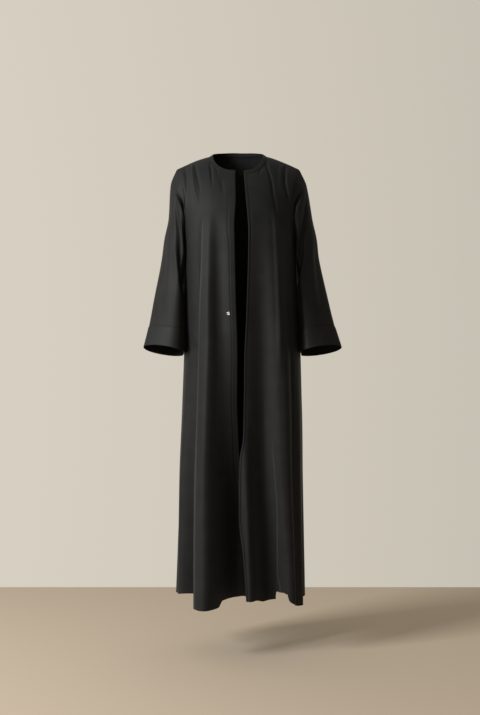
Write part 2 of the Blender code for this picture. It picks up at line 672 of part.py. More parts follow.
def sleeve(name, cuff_name, grids, facing, side, crepe, cuff_crepe):
    rim, rim_normal, into_hole = armhole_rim(grids, facing, side)
    rim = rim + into_hole * SEAM_GAP / 2
    points, normal = sleeve_surface(side, rim, rim_normal)
    if side < 0:
        points, normal = points[:, ::-1], normal[:, ::-1]
    upper = slice(0, ROWS_SLEEVE + 1)
    lower = slice(ROWS_SLEEVE, None)
    cloth(name, points[upper], normal[upper], CREPE, crepe, ["top"], closed=True)
    cloth(cuff_name, points[lower], normal[lower], FOLDED_CREPE, cuff_crepe, ["bottom"],
          proud=CUFF_PROUD, closed=True)


def turned_disc(name, profile, centre, axis, material):
    """A disc turned from a profile of (radius, height) pairs that starts and ends on its axis."""
    first = unit(np.cross(axis, (0, 0, 1.0)))
    second = np.cross(axis, first)
    points = []
    for radius, height in profile[1:-1]:
        for k in range(SNAP_SEGMENTS):
            turn = 2 * math.pi * k / SNAP_SEGMENTS
            spoke = first * math.cos(turn) + second * math.sin(turn)
            points.append(centre + axis * height + radius * spoke)
    bottom, top = len(points), len(points) + 1
    points += [centre + axis * profile[0][1], centre + axis * profile[-1][1]]
    faces = []
    rings = len(profile) - 2
    for k in range(SNAP_SEGMENTS):
        n = (k + 1) % SNAP_SEGMENTS
        faces.append((bottom, n, k))
        faces.append((top, (rings - 1) * SNAP_SEGMENTS + k, (rings - 1) * SNAP_SEGMENTS + n))
        for r in range(rings - 1):
            a, b = r * SNAP_SEGMENTS + k, r * SNAP_SEGMENTS + n
            faces.append((a, b, b + SNAP_SEGMENTS, a + SNAP_SEGMENTS))
    mesh = bpy.data.meshes.new(name)
    mesh.from_pydata([tuple(p) for p in points], [], faces)
    mesh.shade_smooth()
    mesh.set_sharp_from_angle(angle=SNAP_SHARP)
    mesh.materials.append(material)
    part = bpy.data.objects.new(name, mesh)
    bpy.context.scene.collection.objects.link(part)
    return part


def snap(grids, facing, steel):
    """The stud outside the right front and the socket inside the left front, at one height."""
    for name, front, profile, inside in (
        ("snap_stud", "front_right", STUD_PROFILE, False),
        ("snap_socket", "front_left", SOCKET_PROFILE, True),
    ):
        row = np.abs(grids[front][:, 0, 2] - SNAP_LEVEL_Z).argmin()
        near = grids[front][row - 1:row + 2]
        shares = [curve(near[:, c, 2], np.arange(3.0), SNAP_LEVEL_Z) for c in range(near.shape[1])]
        line = np.array([
            [np.interp(share, np.arange(3.0), near[:, c, axis]) for axis in range(3)]
            for c, share in enumerate(shares)
        ])
        run = np.concatenate([[0], np.cumsum(np.linalg.norm(np.diff(line, axis=0), axis=1))])
        centre = np.array([np.interp(SNAP_FROM_EDGE, run, line[:, axis]) for axis in range(3)])
        near_normal = facing[front][row]
        axis = unit(np.array([np.interp(SNAP_FROM_EDGE, run, near_normal[:, k]) for k in range(3)]))
        if inside:
            axis = -axis
            centre = centre + axis * CREPE
        sizes = [(radius * SNAP_RADIUS, height * SNAP_HEIGHT) for radius, height in profile]
        turned_disc(name, sizes, centre + axis * SNAP_STANDOFF, axis, steel)


def principled(name, colour, roughness, metallic=0.0):
    material = bpy.data.materials.new(name)
    material.use_nodes = True
    shader = material.node_tree.nodes["Principled BSDF"]
    shader.inputs["Base Color"].default_value = (*colour, 1)
    shader.inputs["Roughness"].default_value = roughness
    shader.inputs["Metallic"].default_value = metallic
    return material


def main():
    for old in list(bpy.data.objects):
        bpy.data.objects.remove(old, do_unlink=True)
    crepe = principled("crepe", (0.016, 0.017, 0.018), 0.75)
    folded_crepe = principled("folded_crepe", (0.014, 0.015, 0.016), 0.72)
    steel = principled("snap_steel", (0.62, 0.62, 0.60), 0.28, 1.0)

    grids, facing = body_surfaces()
    band = slice(0, COLUMNS_BAND + 1)
    panel = slice(COLUMNS_BAND, None)
    for front, side_name in (("front_right", "right"), ("front_left", "left")):
        points, normal = grids[front], facing[front]
        if front == "front_right":
            # Columns run the same way round the body on every piece
            flip = slice(None, None, -1)
        else:
            flip = slice(None)
        panel_points = points[:, panel][:, flip]
        panel_normal = normal[:, panel][:, flip]
        cloth(front, panel_points, panel_normal, CREPE, crepe, ["top", "start", "end"])
        band_points = points[:, band][:, flip]
        band_normal = normal[:, band][:, flip]
        band_seam = "start" if front == "front_right" else "end"
        cloth("front_band_" + side_name, band_points, band_normal, FOLDED_CREPE, folded_crepe,
              ["top", band_seam], proud=BAND_PROUD)
    back = slice(None, None, -1)
    cloth("back", grids["back"][:, back], facing["back"][:, back], CREPE, crepe, ["top", "start", "end"])
    neck_band(grids, facing, folded_crepe)
    sleeve("sleeve_right", "cuff_right", grids, facing, -1, crepe, folded_crepe)
    sleeve("sleeve_left", "cuff_left", grids, facing, 1, crepe, folded_crepe)
    snap(grids, facing, steel)


main()
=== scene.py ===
import math

import bpy
import numpy as np
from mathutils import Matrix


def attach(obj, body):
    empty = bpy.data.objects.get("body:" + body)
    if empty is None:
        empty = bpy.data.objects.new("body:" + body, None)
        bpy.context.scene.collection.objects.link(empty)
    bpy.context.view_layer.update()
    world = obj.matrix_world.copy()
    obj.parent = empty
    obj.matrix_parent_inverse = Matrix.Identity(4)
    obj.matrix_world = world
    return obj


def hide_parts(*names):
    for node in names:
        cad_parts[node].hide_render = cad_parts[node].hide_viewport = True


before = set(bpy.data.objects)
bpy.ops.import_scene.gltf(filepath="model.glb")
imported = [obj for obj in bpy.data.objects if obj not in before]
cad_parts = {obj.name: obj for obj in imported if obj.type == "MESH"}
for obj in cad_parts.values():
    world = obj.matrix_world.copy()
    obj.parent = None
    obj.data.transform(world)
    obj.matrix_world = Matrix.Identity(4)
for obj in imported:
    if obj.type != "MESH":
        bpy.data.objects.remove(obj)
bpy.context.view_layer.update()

# --- Form of the cloak, as in the part's source ---
# Sizes of the cut, as it hangs
HEM_Z = -1.372
UNDERARM_Z = -0.295
SHOULDER_HALF = 0.187
SHOULDER_Y = -0.060
SHOULDER_Z = -0.060
FRONT_BAND_RIGHT_WIDTH = 0.015
FRONT_BAND_LEFT_WIDTH = 0.005
# Share of the sleeve's length that is cuff
CUFF_SHARE = 0.115

# The press stud and its socket
SNAP_RADIUS = 0.005
SNAP_HEIGHT = 0.0022

# Roundness of the body section and of the neckline: 2 is an ellipse, more is squarer
SECTION_ROUND = 2.3
NECK_ROUND = 2.2
# Share of a half front or half back, across its top, that belongs to the neckline
NECK_SHARE = 0.34
# How the cloth rounds over from the underarm to its top: how softly it starts, and its powers on the
# rise and on the reach, for the front and for the back at its middle and at its shoulder, with the share
# across the back over which the one passes into the other
ROUND_START = 0.15
SHOULDER_OVER = (1.35, 1.65)
BLADES_OVER = (2.1, 1.25)
BLADES_SHOULDER_OVER = (1.35, 2.2)
BLADES_SHARE = 0.7
# Powers: drop of the shoulder seam, spread of the columns with the rise, how close to the top the
# corner at the high shoulder point is held, how close to its edge the armhole pulls, how much closer the
# front one pulls at the underarm, and how the lift of the hem dies out
SHOULDER_DROP = 1.25
SPREAD = 5
CORNER_HOLD = 6
ARMHOLE_PULL = 2.5
UNDERARM_PULL = 5
LIFT_FADE = 3
# Powers of a fold's crest: rolled, on the steep side of a hook, and pressed to an edge
SOFT_CREST = 2.0
STEEP_CREST = 0.7
EDGE_CREST = 1.6

# The body section at each height, about its own centre line
SECTION_COLUMNS = ("height", "half_width", "front", "side", "back", "centre")
SECTIONS = (
    (-1.372, 0.1900, -0.192, -0.050, 0.080, 0.0060),
    (-1.010, 0.1870, -0.198, -0.052, 0.076, 0.0075),
    (-0.790, 0.1830, -0.204, -0.053, 0.069, 0.0120),
    (-0.610, 0.1775, -0.208, -0.054, 0.062, 0.0130),
    (-0.460, 0.1730, -0.209, -0.055, 0.056, 0.0090),
    (-0.295, 0.1690, -0.204, -0.056, 0.050, 0.0060),
    (-0.090, 0.1690, -0.204, -0.056, 0.050, 0.0000),
)

# The armhole edge, from underarm to shoulder point
ARMHOLE_COLUMNS = ("rise", "half_width", "front", "back")
ARMHOLE = (
    (0.00, 0.1690, -0.056, -0.056),
    (0.10, 0.1675, -0.088, -0.026),
    (0.30, 0.1635, -0.111, -0.006),
    (0.55, 0.1625, -0.115, -0.001),
    (0.80, 0.1715, -0.101, -0.013),
    (1.00, 0.1870, -0.060, -0.060),
)

# The neckline at the seam of the neck band, and at the band's own upper edge, each as
# half_width, side_y, side_z, front_y, front_z, back_y, back_z
NECK_SEAM = (0.0865, -0.062, -0.0215, -0.1235, -0.0825, 0.0030, -0.0110)
NECK_EDGE = (0.0763, -0.062, -0.0155, -0.1180, -0.0720, 0.0000, 0.0000)

# Where each front edge runs, as x from the body's centre line
FRONT_EDGE_COLUMNS = ("height", "right", "left")
FRONT_EDGES = (
    (-1.372, 0.0300, 0.0178),
    (-1.230, 0.0220, 0.0076),
    (-1.110, 0.0140, -0.0045),
    (-1.030, 0.0080, -0.0050),
    (-0.936, -0.0050, -0.0040),
    (-0.877, -0.0092, 0.0040),
    (-0.759, -0.0149, 0.0052),
    (-0.630, -0.0145, 0.0061),
    (-0.488, -0.0150, 0.0159),
    (-0.347, -0.0155, 0.0231),
    (-0.253, -0.0154, 0.0256),
    (-0.159, -0.0088, 0.0212),
    (-0.075, -0.0081, 0.0172),
)

# Bearings are in degrees from straight front, negative on the wearer's right, 180 at the centre back.
# A fold starts at its top height and reaches its depth and its lean at the hem. Lean shifts the crest
# along the cloth, away from the centre.
# name, bearing at the top, at the knee and at the hem, half width in degrees on the side nearer the
# centre front and on the other, depth, lean, top height, power of its growth from the top, power of its
# fading towards the hem, shape
FOLDS = (
    ("right_underlap", -1, -1, -1, 30, 27, -0.074, 0.000, -0.560, 0.9, 0, "soft"),
    ("right_valley", -24, -23, -20, 14, 9, -0.072, 0.000, -0.200, 0.9, 1.5, "soft"),
    ("right_front_fold", -33, -31, -29, 21, 14, 0.058, 0.000, -0.200, 0.9, 0, "hook"),
    ("right_front_edge", -41, -42, -40, 6, 6, 0.008, 0.000, -0.200, 0.6, 0, "edge"),
    ("right_behind_fold", -50, -54, -50, 12, 18, -0.038, -0.010, -0.590, 0.65, 0, "soft"),
    ("right_side_fold", -72, -71, -68, 12, 12, 0.010, 0.000, -0.630, 1.0, 0, "soft"),
    ("left_edge_roll", 3, 6, 9, 7, 7, 0.018, 0.000, -0.810, 0.8, 0, "soft"),
    ("left_edge_valley", 17, 21, 33, 21, 15, -0.034, 0.000, -0.215, 0.7, 0, "soft"),
    ("left_broad_fold", 39, 42, 50, 16, 16, 0.028, 0.000, -0.190, 0.6, 0, "soft"),
    ("left_front_edge", 28, 31, 36, 6, 6, 0.007, 0.006, -0.700, 0.8, 0, "edge"),
    ("left_behind_fold", 57, 54, 56, 6, 6, -0.010, 0.000, -0.240, 0.9, 0, "soft"),
    ("left_side_fold", 67, 68, 68, 10, 10, 0.014, 0.000, -0.630, 1.0, 0, "soft"),
    ("back_fold_1", 104, 106, 108, 13, 13, 0.022, 0.000, -0.510, 0.9, 0, "soft"),
    ("back_valley_1", 121, 122, 124, 10, 10, -0.020, 0.000, -0.350, 0.9, 0, "soft"),
    ("back_fold_2", 133, 137, 141, 14, 14, 0.030, 0.004, -0.290, 0.8, 0, "soft"),
    ("back_valley_2", 151, 155, 159, 12, 12, -0.030, 0.000, -0.350, 0.9, 0, "soft"),
    ("back_fold_3", 168, 173, 178, 15, 15, 0.028, 0.000, -0.310, 0.8, 0, "soft"),
    ("back_valley_3", -170, -166, -161, 12, 12, -0.028, 0.000, -0.410, 0.9, 0, "soft"),
    ("back_fold_4", -154, -149, -144, 13, 13, 0.032, 0.004, -0.270, 0.8, 0, "soft"),
    ("back_valley_4", -137, -132, -127, 11, 11, -0.024, 0.000, -0.350, 0.9, 0, "soft"),
    ("back_fold_5", -116, -114, -110, 13, 13, 0.022, 0.000, -0.470, 0.9, 0, "soft"),
)
# Share of the way from a fold's top to the hem at which it has its bearing at the knee
KNEE_SHARE = 0.5

# How far the hem hangs above its lowest level, round the body
HEM_COLUMNS = ("bearing", "lift")
HEM_LIFT = (
    (-180, 0.000), (-120, 0.004), (-90, 0.017), (-72, 0.026), (-60, 0.030), (-50, 0.030),
    (-41, 0.002), (-30, 0.000), (-19, 0.002), (-16, 0.019), (-4, 0.018), (5, 0.021), (14, 0.021),
    (24, 0.014), (36, 0.017), (38, 0.040), (43.5, 0.040), (45.5, 0.016), (50, 0.006), (64, -0.006),
    (78, -0.006), (90, 0.000), (180, 0.000),
)

# The sleeve's outline, seen from the front and about the body's centre line. left_more and left_back are
# how much further out and further back the wearer's left sleeve hangs.
SLEEVE_COLUMNS = (
    "along", "outer_x", "outer_z", "inner_x", "inner_z", "middle_y", "half_depth",
    "left_more", "left_back",
)
SLEEVE = (
    (0.00, 0.1870, -0.060, 0.1690, -0.295, -0.058, 0.058, 0.0020, 0.000),
    (0.10, 0.2067, -0.110, 0.1660, -0.310, -0.057, 0.064, 0.0035, 0.002),
    (0.27, 0.2161, -0.210, 0.1590, -0.345, -0.057, 0.072, 0.0078, 0.006),
    (0.38, 0.2310, -0.275, 0.1600, -0.377, -0.058, 0.076, 0.0050, 0.010),
    (0.50, 0.2400, -0.336, 0.1620, -0.410, -0.060, 0.077, 0.0018, 0.013),
    (0.73, 0.2644, -0.458, 0.1650, -0.485, -0.073, 0.074, 0.0018, 0.014),
    (0.86, 0.2789, -0.530, 0.1670, -0.545, -0.086, 0.066, 0.0016, 0.014),
    (1.00, 0.2972, -0.604, 0.1700, -0.622, -0.108, 0.058, 0.0028, 0.014),
)
# How far the sleeve stays clear of the body that it wraps, how softly it meets that limit, and the
# share of its length over which this sets in below the armhole
SLEEVE_CLEAR = 0.0030
SLEEVE_SOFT = 0.0030
SLEEVE_CLEAR_FROM = 0.10
# How far the fullest part of its section is turned from the front towards the body, and how far the
# mouth tilts, with the power of that tilt's growth from the armhole
SLEEVE_SKEW = math.radians(32)
MOUTH_TILT = 0.028
MOUTH_TILT_GROWTH = 3
# Share of the sleeve's length over which its rings keep the armhole's shape, and how that fades
CAP_SHARE = 0.34
CAP_FADE = 1.6
# Power with which a sleeve's fold fades towards both its ends
SLEEVE_FOLD_FADE = 1.3

# Sleeve folds run down the sleeve through three places. around is in degrees, 0 on the outer side and
# 90 at the front; along is the share of the sleeve's length.
# name, sleeve (-1 right, 1 left, 0 both), along at its top, middle and end, around at those three,
# half width in degrees towards a smaller and towards a larger around, depth
SLEEVE_FOLDS = (
    ("right_front_groove", -1, 0.05, 0.29, 0.66, 36, 92, 150, 24, 80, -0.005),
    ("left_front_groove", 1, 0.12, 0.32, 0.54, 30, 100, 155, 24, 80, -0.005),
    ("front_ridge", 0, 0.20, 0.48, 0.88, 34, 66, 92, 24, 28, 0.004),
    ("elbow_groove", 0, 0.28, 0.50, 0.74, 250, 226, 200, 26, 26, -0.009),
    ("back_groove", 0, 0.06, 0.22, 0.42, 300, 280, 255, 22, 22, -0.006),
)


def column(names, rows, name):
    """One named column of a table."""
    return np.array([row[names.index(name)] for row in rows], float)


def curve(knots, values, at):
    """Smooth curve through the points of a table column, which never overshoots them."""
    step = np.diff(knots)
    slope = np.diff(values) / step
    tangent = np.zeros(len(knots))
    tangent[0] = slope[0]
    tangent[-1] = slope[-1]
    same_way = slope[:-1] * slope[1:] > 0
    mean = 2 * slope[:-1] * slope[1:] / np.where(same_way, slope[:-1] + slope[1:], 1)
    tangent[1:-1] = np.where(same_way, mean, 0)
    at = np.clip(at, knots[0], knots[-1])
    i = np.clip(np.searchsorted(knots, at) - 1, 0, len(step) - 1)
    u = (at - knots[i]) / step[i]
    return (
        values[i] * (1 + 2 * u) * (1 - u) ** 2
        + tangent[i] * step[i] * u * (1 - u) ** 2
        + values[i + 1] * u**2 * (3 - 2 * u)
        - tangent[i + 1] * step[i] * u**2 * (1 - u)
    )


def section(name, height):
    """One size of the body section at a height."""
    return curve(column(SECTION_COLUMNS, SECTIONS, "height"), column(SECTION_COLUMNS, SECTIONS, name), height)


def armhole(name, rise):
    """One place of the armhole's edge, from 0 at the underarm to 1 at the shoulder point."""
    return curve(column(ARMHOLE_COLUMNS, ARMHOLE, "rise"), column(ARMHOLE_COLUMNS, ARMHOLE, name), rise)


def smooth_step(share):
    """Passes from 0 to 1 with a gentle start and end."""
    return share**2 * (3 - 2 * share)


def rounded(share, power):
    """Falls from 1 to 0 as share goes from 0 to 1, along a quarter of a rounded square."""
    return (1 - np.clip(np.abs(share), 0, 1) ** power) ** (1 / power)


def eased(share, power):
    """A power of a share from 0 to 1 that starts with a round bend."""
    start = ROUND_START**power
    end = (1 + ROUND_START**2) ** (power / 2)
    return ((share**2 + ROUND_START**2) ** (power / 2) - start) / (end - start)


def unit(vectors):
    """The vectors at a length of 1."""
    return vectors / np.maximum(np.linalg.norm(vectors, axis=-1, keepdims=True), 1e-12)


def edge_x(side, face, height):
    """x of the centre edge of a half front or half back, counted towards its own side."""
    if face == "back":
        return np.zeros_like(height)
    name = "left" if side > 0 else "right"
    heights = column(FRONT_EDGE_COLUMNS, FRONT_EDGES, "height")
    return side * curve(heights, column(FRONT_EDGE_COLUMNS, FRONT_EDGES, name), height)


def neckline(sizes, side, face, turn):
    """A point of the neckline. turn is 0 at the centre edge and a quarter turn at the shoulder seam."""
    half_width, side_y, side_z, front_y, front_z, back_y, back_z = sizes
    centre_y, centre_z = (front_y, front_z) if face == "front" else (back_y, back_z)
    start = edge_x(side, face, np.full_like(turn, centre_z))
    x = start + (half_width - start) * np.sin(turn)
    y = side_y + (centre_y - side_y) * np.cos(turn)
    z = side_z + (centre_z - side_z) * rounded(np.sin(turn), NECK_ROUND)
    return x, y, z


def top_line(side, face, across):
    """The neck band's seam and then the shoulder seam."""
    turn = np.clip(across / NECK_SHARE, 0, 1) * math.pi / 2
    x, y, z = neckline(NECK_SEAM, side, face, turn)
    out = np.clip((across - NECK_SHARE) / (1 - NECK_SHARE), 0, 1)
    x = x + (SHOULDER_HALF - NECK_SEAM[0]) * out
    y = y + (SHOULDER_Y - NECK_SEAM[1]) * out
    z = z + (SHOULDER_Z - NECK_SEAM[2]) * out**SHOULDER_DROP
    return x, y, z


def section_point(side, face, across, height):
    """A point of the undraped body section: x towards its own side, y, and the bearing in degrees."""
    half_width = section("half_width", height)
    start = np.arcsin(edge_x(side, face, height) / half_width)
    angle = start + (math.pi / 2 - start) * across
    x = half_width * np.sin(angle)
    side_y = section("side", height)
    y = side_y + (section(face, height) - side_y) * rounded(np.sin(angle), SECTION_ROUND)
    degrees = np.degrees(angle)
    return x, y, degrees if face == "front" else 180 - degrees


def hem_lift(side, bearing):
    """How far the hem hangs above its lowest level, on one side of the body."""
    bearings = column(HEM_COLUMNS, HEM_LIFT, "bearing")
    return curve(bearings, column(HEM_COLUMNS, HEM_LIFT, "lift"), side * bearing)


def undraped(side, face, across, level):
    """The cloth before its folds, and each point's bearing and height.

    across is 0 at the centre edge and 1 at the side seam and armhole. level is 0 at the hem, 1 at the
    underarm and 2 at the neckline and shoulder seam.
    """
    low = np.minimum(level, 1)
    rise = np.clip(level - 1, 0, 1)
    height = HEM_Z + (UNDERARM_Z - HEM_Z) * low + 0 * across
    x_low, y_low, bearing = section_point(side, face, across, height)
    z_low = height + hem_lift(side, bearing) * (1 - low) ** LIFT_FADE

    top_x, top_y, top_z = top_line(side, face, across)
    z = np.where(level > 1, UNDERARM_Z + (top_z - UNDERARM_Z) * rise, z_low)
    centre_z = UNDERARM_Z + (top_line(side, face, np.zeros(1))[2] - UNDERARM_Z) * rise
    centre_x = edge_x(side, face, centre_z)
    reach = armhole("half_width", rise)
    under_x = edge_x(side, face, np.full(1, UNDERARM_Z))
    share_low = (x_low - under_x) / (armhole("half_width", np.zeros(1)) - under_x)
    share_top = (top_x - top_x.min()) / (SHOULDER_HALF - top_x.min())
    share = share_low + (share_top - share_low) * rise**SPREAD
    x = np.where(level > 1, centre_x + (reach - centre_x) * share, x_low)

    if face == "front":
        # The chest rounds over to the shoulder seam, and the neckline is a cut in that surface
        out = np.clip((x - NECK_SEAM[0]) / (SHOULDER_HALF - NECK_SEAM[0]), 0, 1)
        line_y = NECK_SEAM[1] + (SHOULDER_Y - NECK_SEAM[1]) * out
        line_z = NECK_SEAM[2] + (SHOULDER_Z - NECK_SEAM[2]) * out**SHOULDER_DROP
        share_up = np.clip((z - UNDERARM_Z) / (line_z - UNDERARM_Z), 0, 1)
        on_rise, on_reach = SHOULDER_OVER
    else:
        soft_y = SHOULDER_Y + (NECK_SEAM[5] - SHOULDER_Y) * np.cos(across * math.pi / 2)
        line_y = soft_y + (top_y - soft_y) * rise**CORNER_HOLD
        share_up = rise
        outward = smooth_step(np.clip(across / BLADES_SHARE, 0, 1))
        on_rise, on_reach = (a + (b - a) * outward for a, b in zip(BLADES_OVER, BLADES_SHOULDER_OVER))
    free_y = line_y + (y_low - line_y) * (1 - eased(share_up, on_rise)) ** (1 / on_reach)
    power = ARMHOLE_PULL + (UNDERARM_PULL * (1 - rise) ** 2 if face == "front" else 0)
    pull = (armhole(face, rise) - free_y[:, -1:]) * across**power
    y = np.where(level > 1, free_y + pull, y_low)
    return np.stack([x, y, z], axis=-1), bearing


def crest(distance, shape):
    """Height of a fold across its width, 1 on its crest and 0 from one half width away.

    A soft fold rolls, a hook drops steeply on its side away from the centre front, where distance is
    above 0, and an edge is pressed to a ridge.
    """
    u = np.clip(np.abs(distance), 0, 1)
    if shape == "edge":
        return (1 - u) ** EDGE_CREST
    steep = (shape == "hook") & (distance > 0)
    return np.cos(u * math.pi / 2) ** np.where(steep, STEEP_CREST, SOFT_CREST)


def drape(side, bearing, height):
    """How far the folds move the cloth outwards, and along towards the side."""
    outwards = np.zeros_like(bearing)
    along = np.zeros_like(bearing)
    for _, top, knee, hem, inner_width, outer_width, depth, lean, top_height, growth, fade, shape in FOLDS:
        # Each front keeps the folds of its own side, because the two overlap
        if abs(hem) < 90 and side * hem < 0:
            continue
        fall = np.clip((top_height - height) / (top_height - HEM_Z), 0, 1)
        middle = curve(np.array([0, KNEE_SHARE, 1.0]), np.array([top, knee, hem], float), fall)
        distance = ((side * bearing - middle + 180) % 360 - 180) * np.sign(middle)
        half_width = np.where(distance < 0, inner_width, outer_width)
        size = crest(distance / half_width, shape) * fall**growth * (1 - fall) ** fade
        outwards += depth * size
        along += lean * size
    return outwards, along


def normals(points):
    """Normals of a grid of points."""
    return unit(np.cross(np.gradient(points, axis=1), np.gradient(points, axis=0)))


def ring_normals(points):
    """Normals of a grid of closed rings."""
    turned = np.concatenate([points[:, -1:], points, points[:, :1]], axis=1)
    return normals(turned)[:, 1:-1]


def clear_of_body(points, side, along):
    """Moves sleeve rings out to lie just clear of the body section that they wrap."""
    y, z = points[..., 1], points[..., 2]
    side_y = section("side", z)
    face_y = np.where(y < side_y, section("front", z), section("back", z))
    limit = section("half_width", z) * rounded((y - side_y) / (face_y - side_y), SECTION_ROUND) + SLEEVE_CLEAR
    own = side * (points[..., 0] - section("centre", z))
    kept = (own + limit + np.sqrt((own - limit) ** 2 + SLEEVE_SOFT**2)) / 2
    share = smooth_step(np.clip(along / SLEEVE_CLEAR_FROM, 0, 1))[:, None]
    points = points.copy()
    points[..., 0] += side * (kept - own) * share
    return points


def sleeve_drape(folds, side, around, along):
    """How far folds of the sleeve move its cloth outwards."""
    out = np.zeros(np.broadcast(around, along).shape)
    for _, where, top, middle, end, at_top, at_middle, at_end, smaller, larger, depth in folds:
        if where * side < 0:
            continue
        centre = curve(np.array([top, middle, end]), np.array([at_top, at_middle, at_end], float), along)
        distance = (around - centre + 180) % 360 - 180
        half_width = np.where(distance < 0, smaller, larger)
        share = np.clip((along - top) / (end - top), 0, 1)
        out += depth * crest(distance / half_width, "soft") * np.sin(math.pi * share) ** SLEEVE_FOLD_FADE
    return out


def sleeve_rings(side, rim, around, along):
    """Rings of the sleeve from the armhole to the mouth. Each ring starts on the outer side."""
    def size(name):
        return curve(column(SLEEVE_COLUMNS, SLEEVE, "along"), column(SLEEVE_COLUMNS, SLEEVE, name), along)

    outer_x = size("outer_x") + (size("left_more") if side > 0 else 0)
    middle_y = size("middle_y") + (size("left_back") if side > 0 else 0)
    outer = np.stack([outer_x, 0 * along, size("outer_z")], axis=-1)
    inner = np.stack([size("inner_x"), 0 * along, size("inner_z")], axis=-1)
    middle = (outer + inner) / 2 + np.stack([0 * along, middle_y, 0 * along], axis=-1)
    reach = (outer - inner) / 2
    points = middle[:, None] + reach[:, None] * np.cos(around)[None, :, None]
    # The section is fullest towards the body and slopes back to its outer side
    points[..., 1] -= size("half_depth")[:, None] * np.sin(around - SLEEVE_SKEW * np.sin(around))
    # The mouth tilts as the forearm comes forward: its back hangs lower than its front
    points[..., 2] += MOUTH_TILT / 2 * np.sin(around) * along[:, None] ** MOUTH_TILT_GROWTH
    points[..., 0] += side * section("centre", points[..., 2])
    out = sleeve_drape(SLEEVE_FOLDS, side, np.degrees(around)[None, :], along[:, None])
    points = points + ring_normals(points) * out[..., None]
    points[..., 0] *= side
    # The first rings take their shape from the armhole that they are sewn to
    fade = np.clip(1 - along / CAP_SHARE, 0, 1)[:, None, None] ** CAP_FADE
    points = points + (rim - points[0]) * fade
    return clear_of_body(points, side, along)


# --- The cloth that is shown: finer than its solids, and with small folds of its own ---
# Thickness, single and folded
SHOWN_CREPE = 0.0008
SHOWN_FOLDED = 0.0020

# Its grid: rows from hem to underarm and from underarm to shoulder, and columns across each stretch
ROWS_FINE_LOW = 110
ROWS_FINE_HIGH = 64
COLUMNS_FINE_NECK = 44
COLUMNS_FINE_SHOULDER = 150
COLUMNS_FINE_BAND = 9
COLUMNS_BACK_NECK = 36
COLUMNS_BACK_SHOULDER = 70
ROWS_FINE_SLEEVE = 120
ROWS_FINE_CUFF = 26
ROWS_NECK_BAND = 12
# How much closer together its lines are near both ends of a stretch, from 0, even, to 1
CLOSER_LOW = 0.6
CLOSER_BAND = 0.5
CLOSER_NECK = 0.4
CLOSER_SLEEVE = 0.4
CLOSER_CUFF = 0.7
# Columns that measure how wide a front is at each level
MEASURING_COLUMNS = 80
# Steps to a metre in which points that are sewn together agree
SEWN_STEPS = 1e5
# Cut edges and the snap's rims turn more sharply than this, and the cloth doesn't
SHOWN_SHARP = math.radians(60)
# Points inside the body of the cloak and inside its neck, which the cloth faces away from
BODY_INSIDE = (0, -0.06, -0.7)
NECK_INSIDE = (0, -0.06, -0.06)

# Unevenness of hanging cloth, which differs from side to side: how high it is on the body and on the
# sleeves, and the share of a sleeve's length over which it sets in
UNEVEN = 0.0009
SLEEVE_UNEVEN = 0.0006
SLEEVE_UNEVEN_FROM = 0.1
# Where its pattern starts on each side, 1 for the left and -1 for the right
BODY_SEEDS = {1: 3, -1: 5}
SLEEVE_SEEDS = {1: 4, -1: 2}
# Metres to a degree round the sleeve and to the whole of its length, for the unevenness
SLEEVE_AROUND = 0.0012
SLEEVE_ALONG = 0.6
# Its waves, with their lengths across and down as shortest, step, number of steps and steps from one
# wave to the next, and how far they are shifted, how far they wander, and how far they are turned for
# each side's start and for each wave
RIPPLE_WAVES = 7
RIPPLE_ACROSS = (0.055, 0.017, 7, 5)
RIPPLE_DOWN = (0.36, 0.13, 5, 3)
RIPPLE_SHIFT = 3
RIPPLE_WANDER = 0.9
RIPPLE_SEED_TURN = 1.7
RIPPLE_WAVE_TURN = 2.399

# How deep each seam is pressed, how far it reaches, and the heights over which the front bands' seams,
# which are pressed flat at the top, come to show
SEAM_DEPTH = 0.0009
NECK_SEAM_DEPTH = 0.0005
SEAM_REACH = 0.0030
FRONT_SEAM_SHOWS = (-0.140, -0.230)
# How much thinner a folded band is at its seam, and what is left of it at its free edge, as shares
SEAM_THINNER = 0.38
FREE_EDGE_LEFT = 0.15
# How far its rounding reaches from its seam and from its free edge
FRONT_BAND_ROUNDING = (0.0008, 0.0012)
CUFF_ROUNDING = (0.0010, 0.0012)
NECK_BAND_ROUNDING = (0.0008, 0.0011)
# How far it stands out from the cloth beside it
BAND_LIFT = 0.0008
CUFF_LIFT = 0.0013

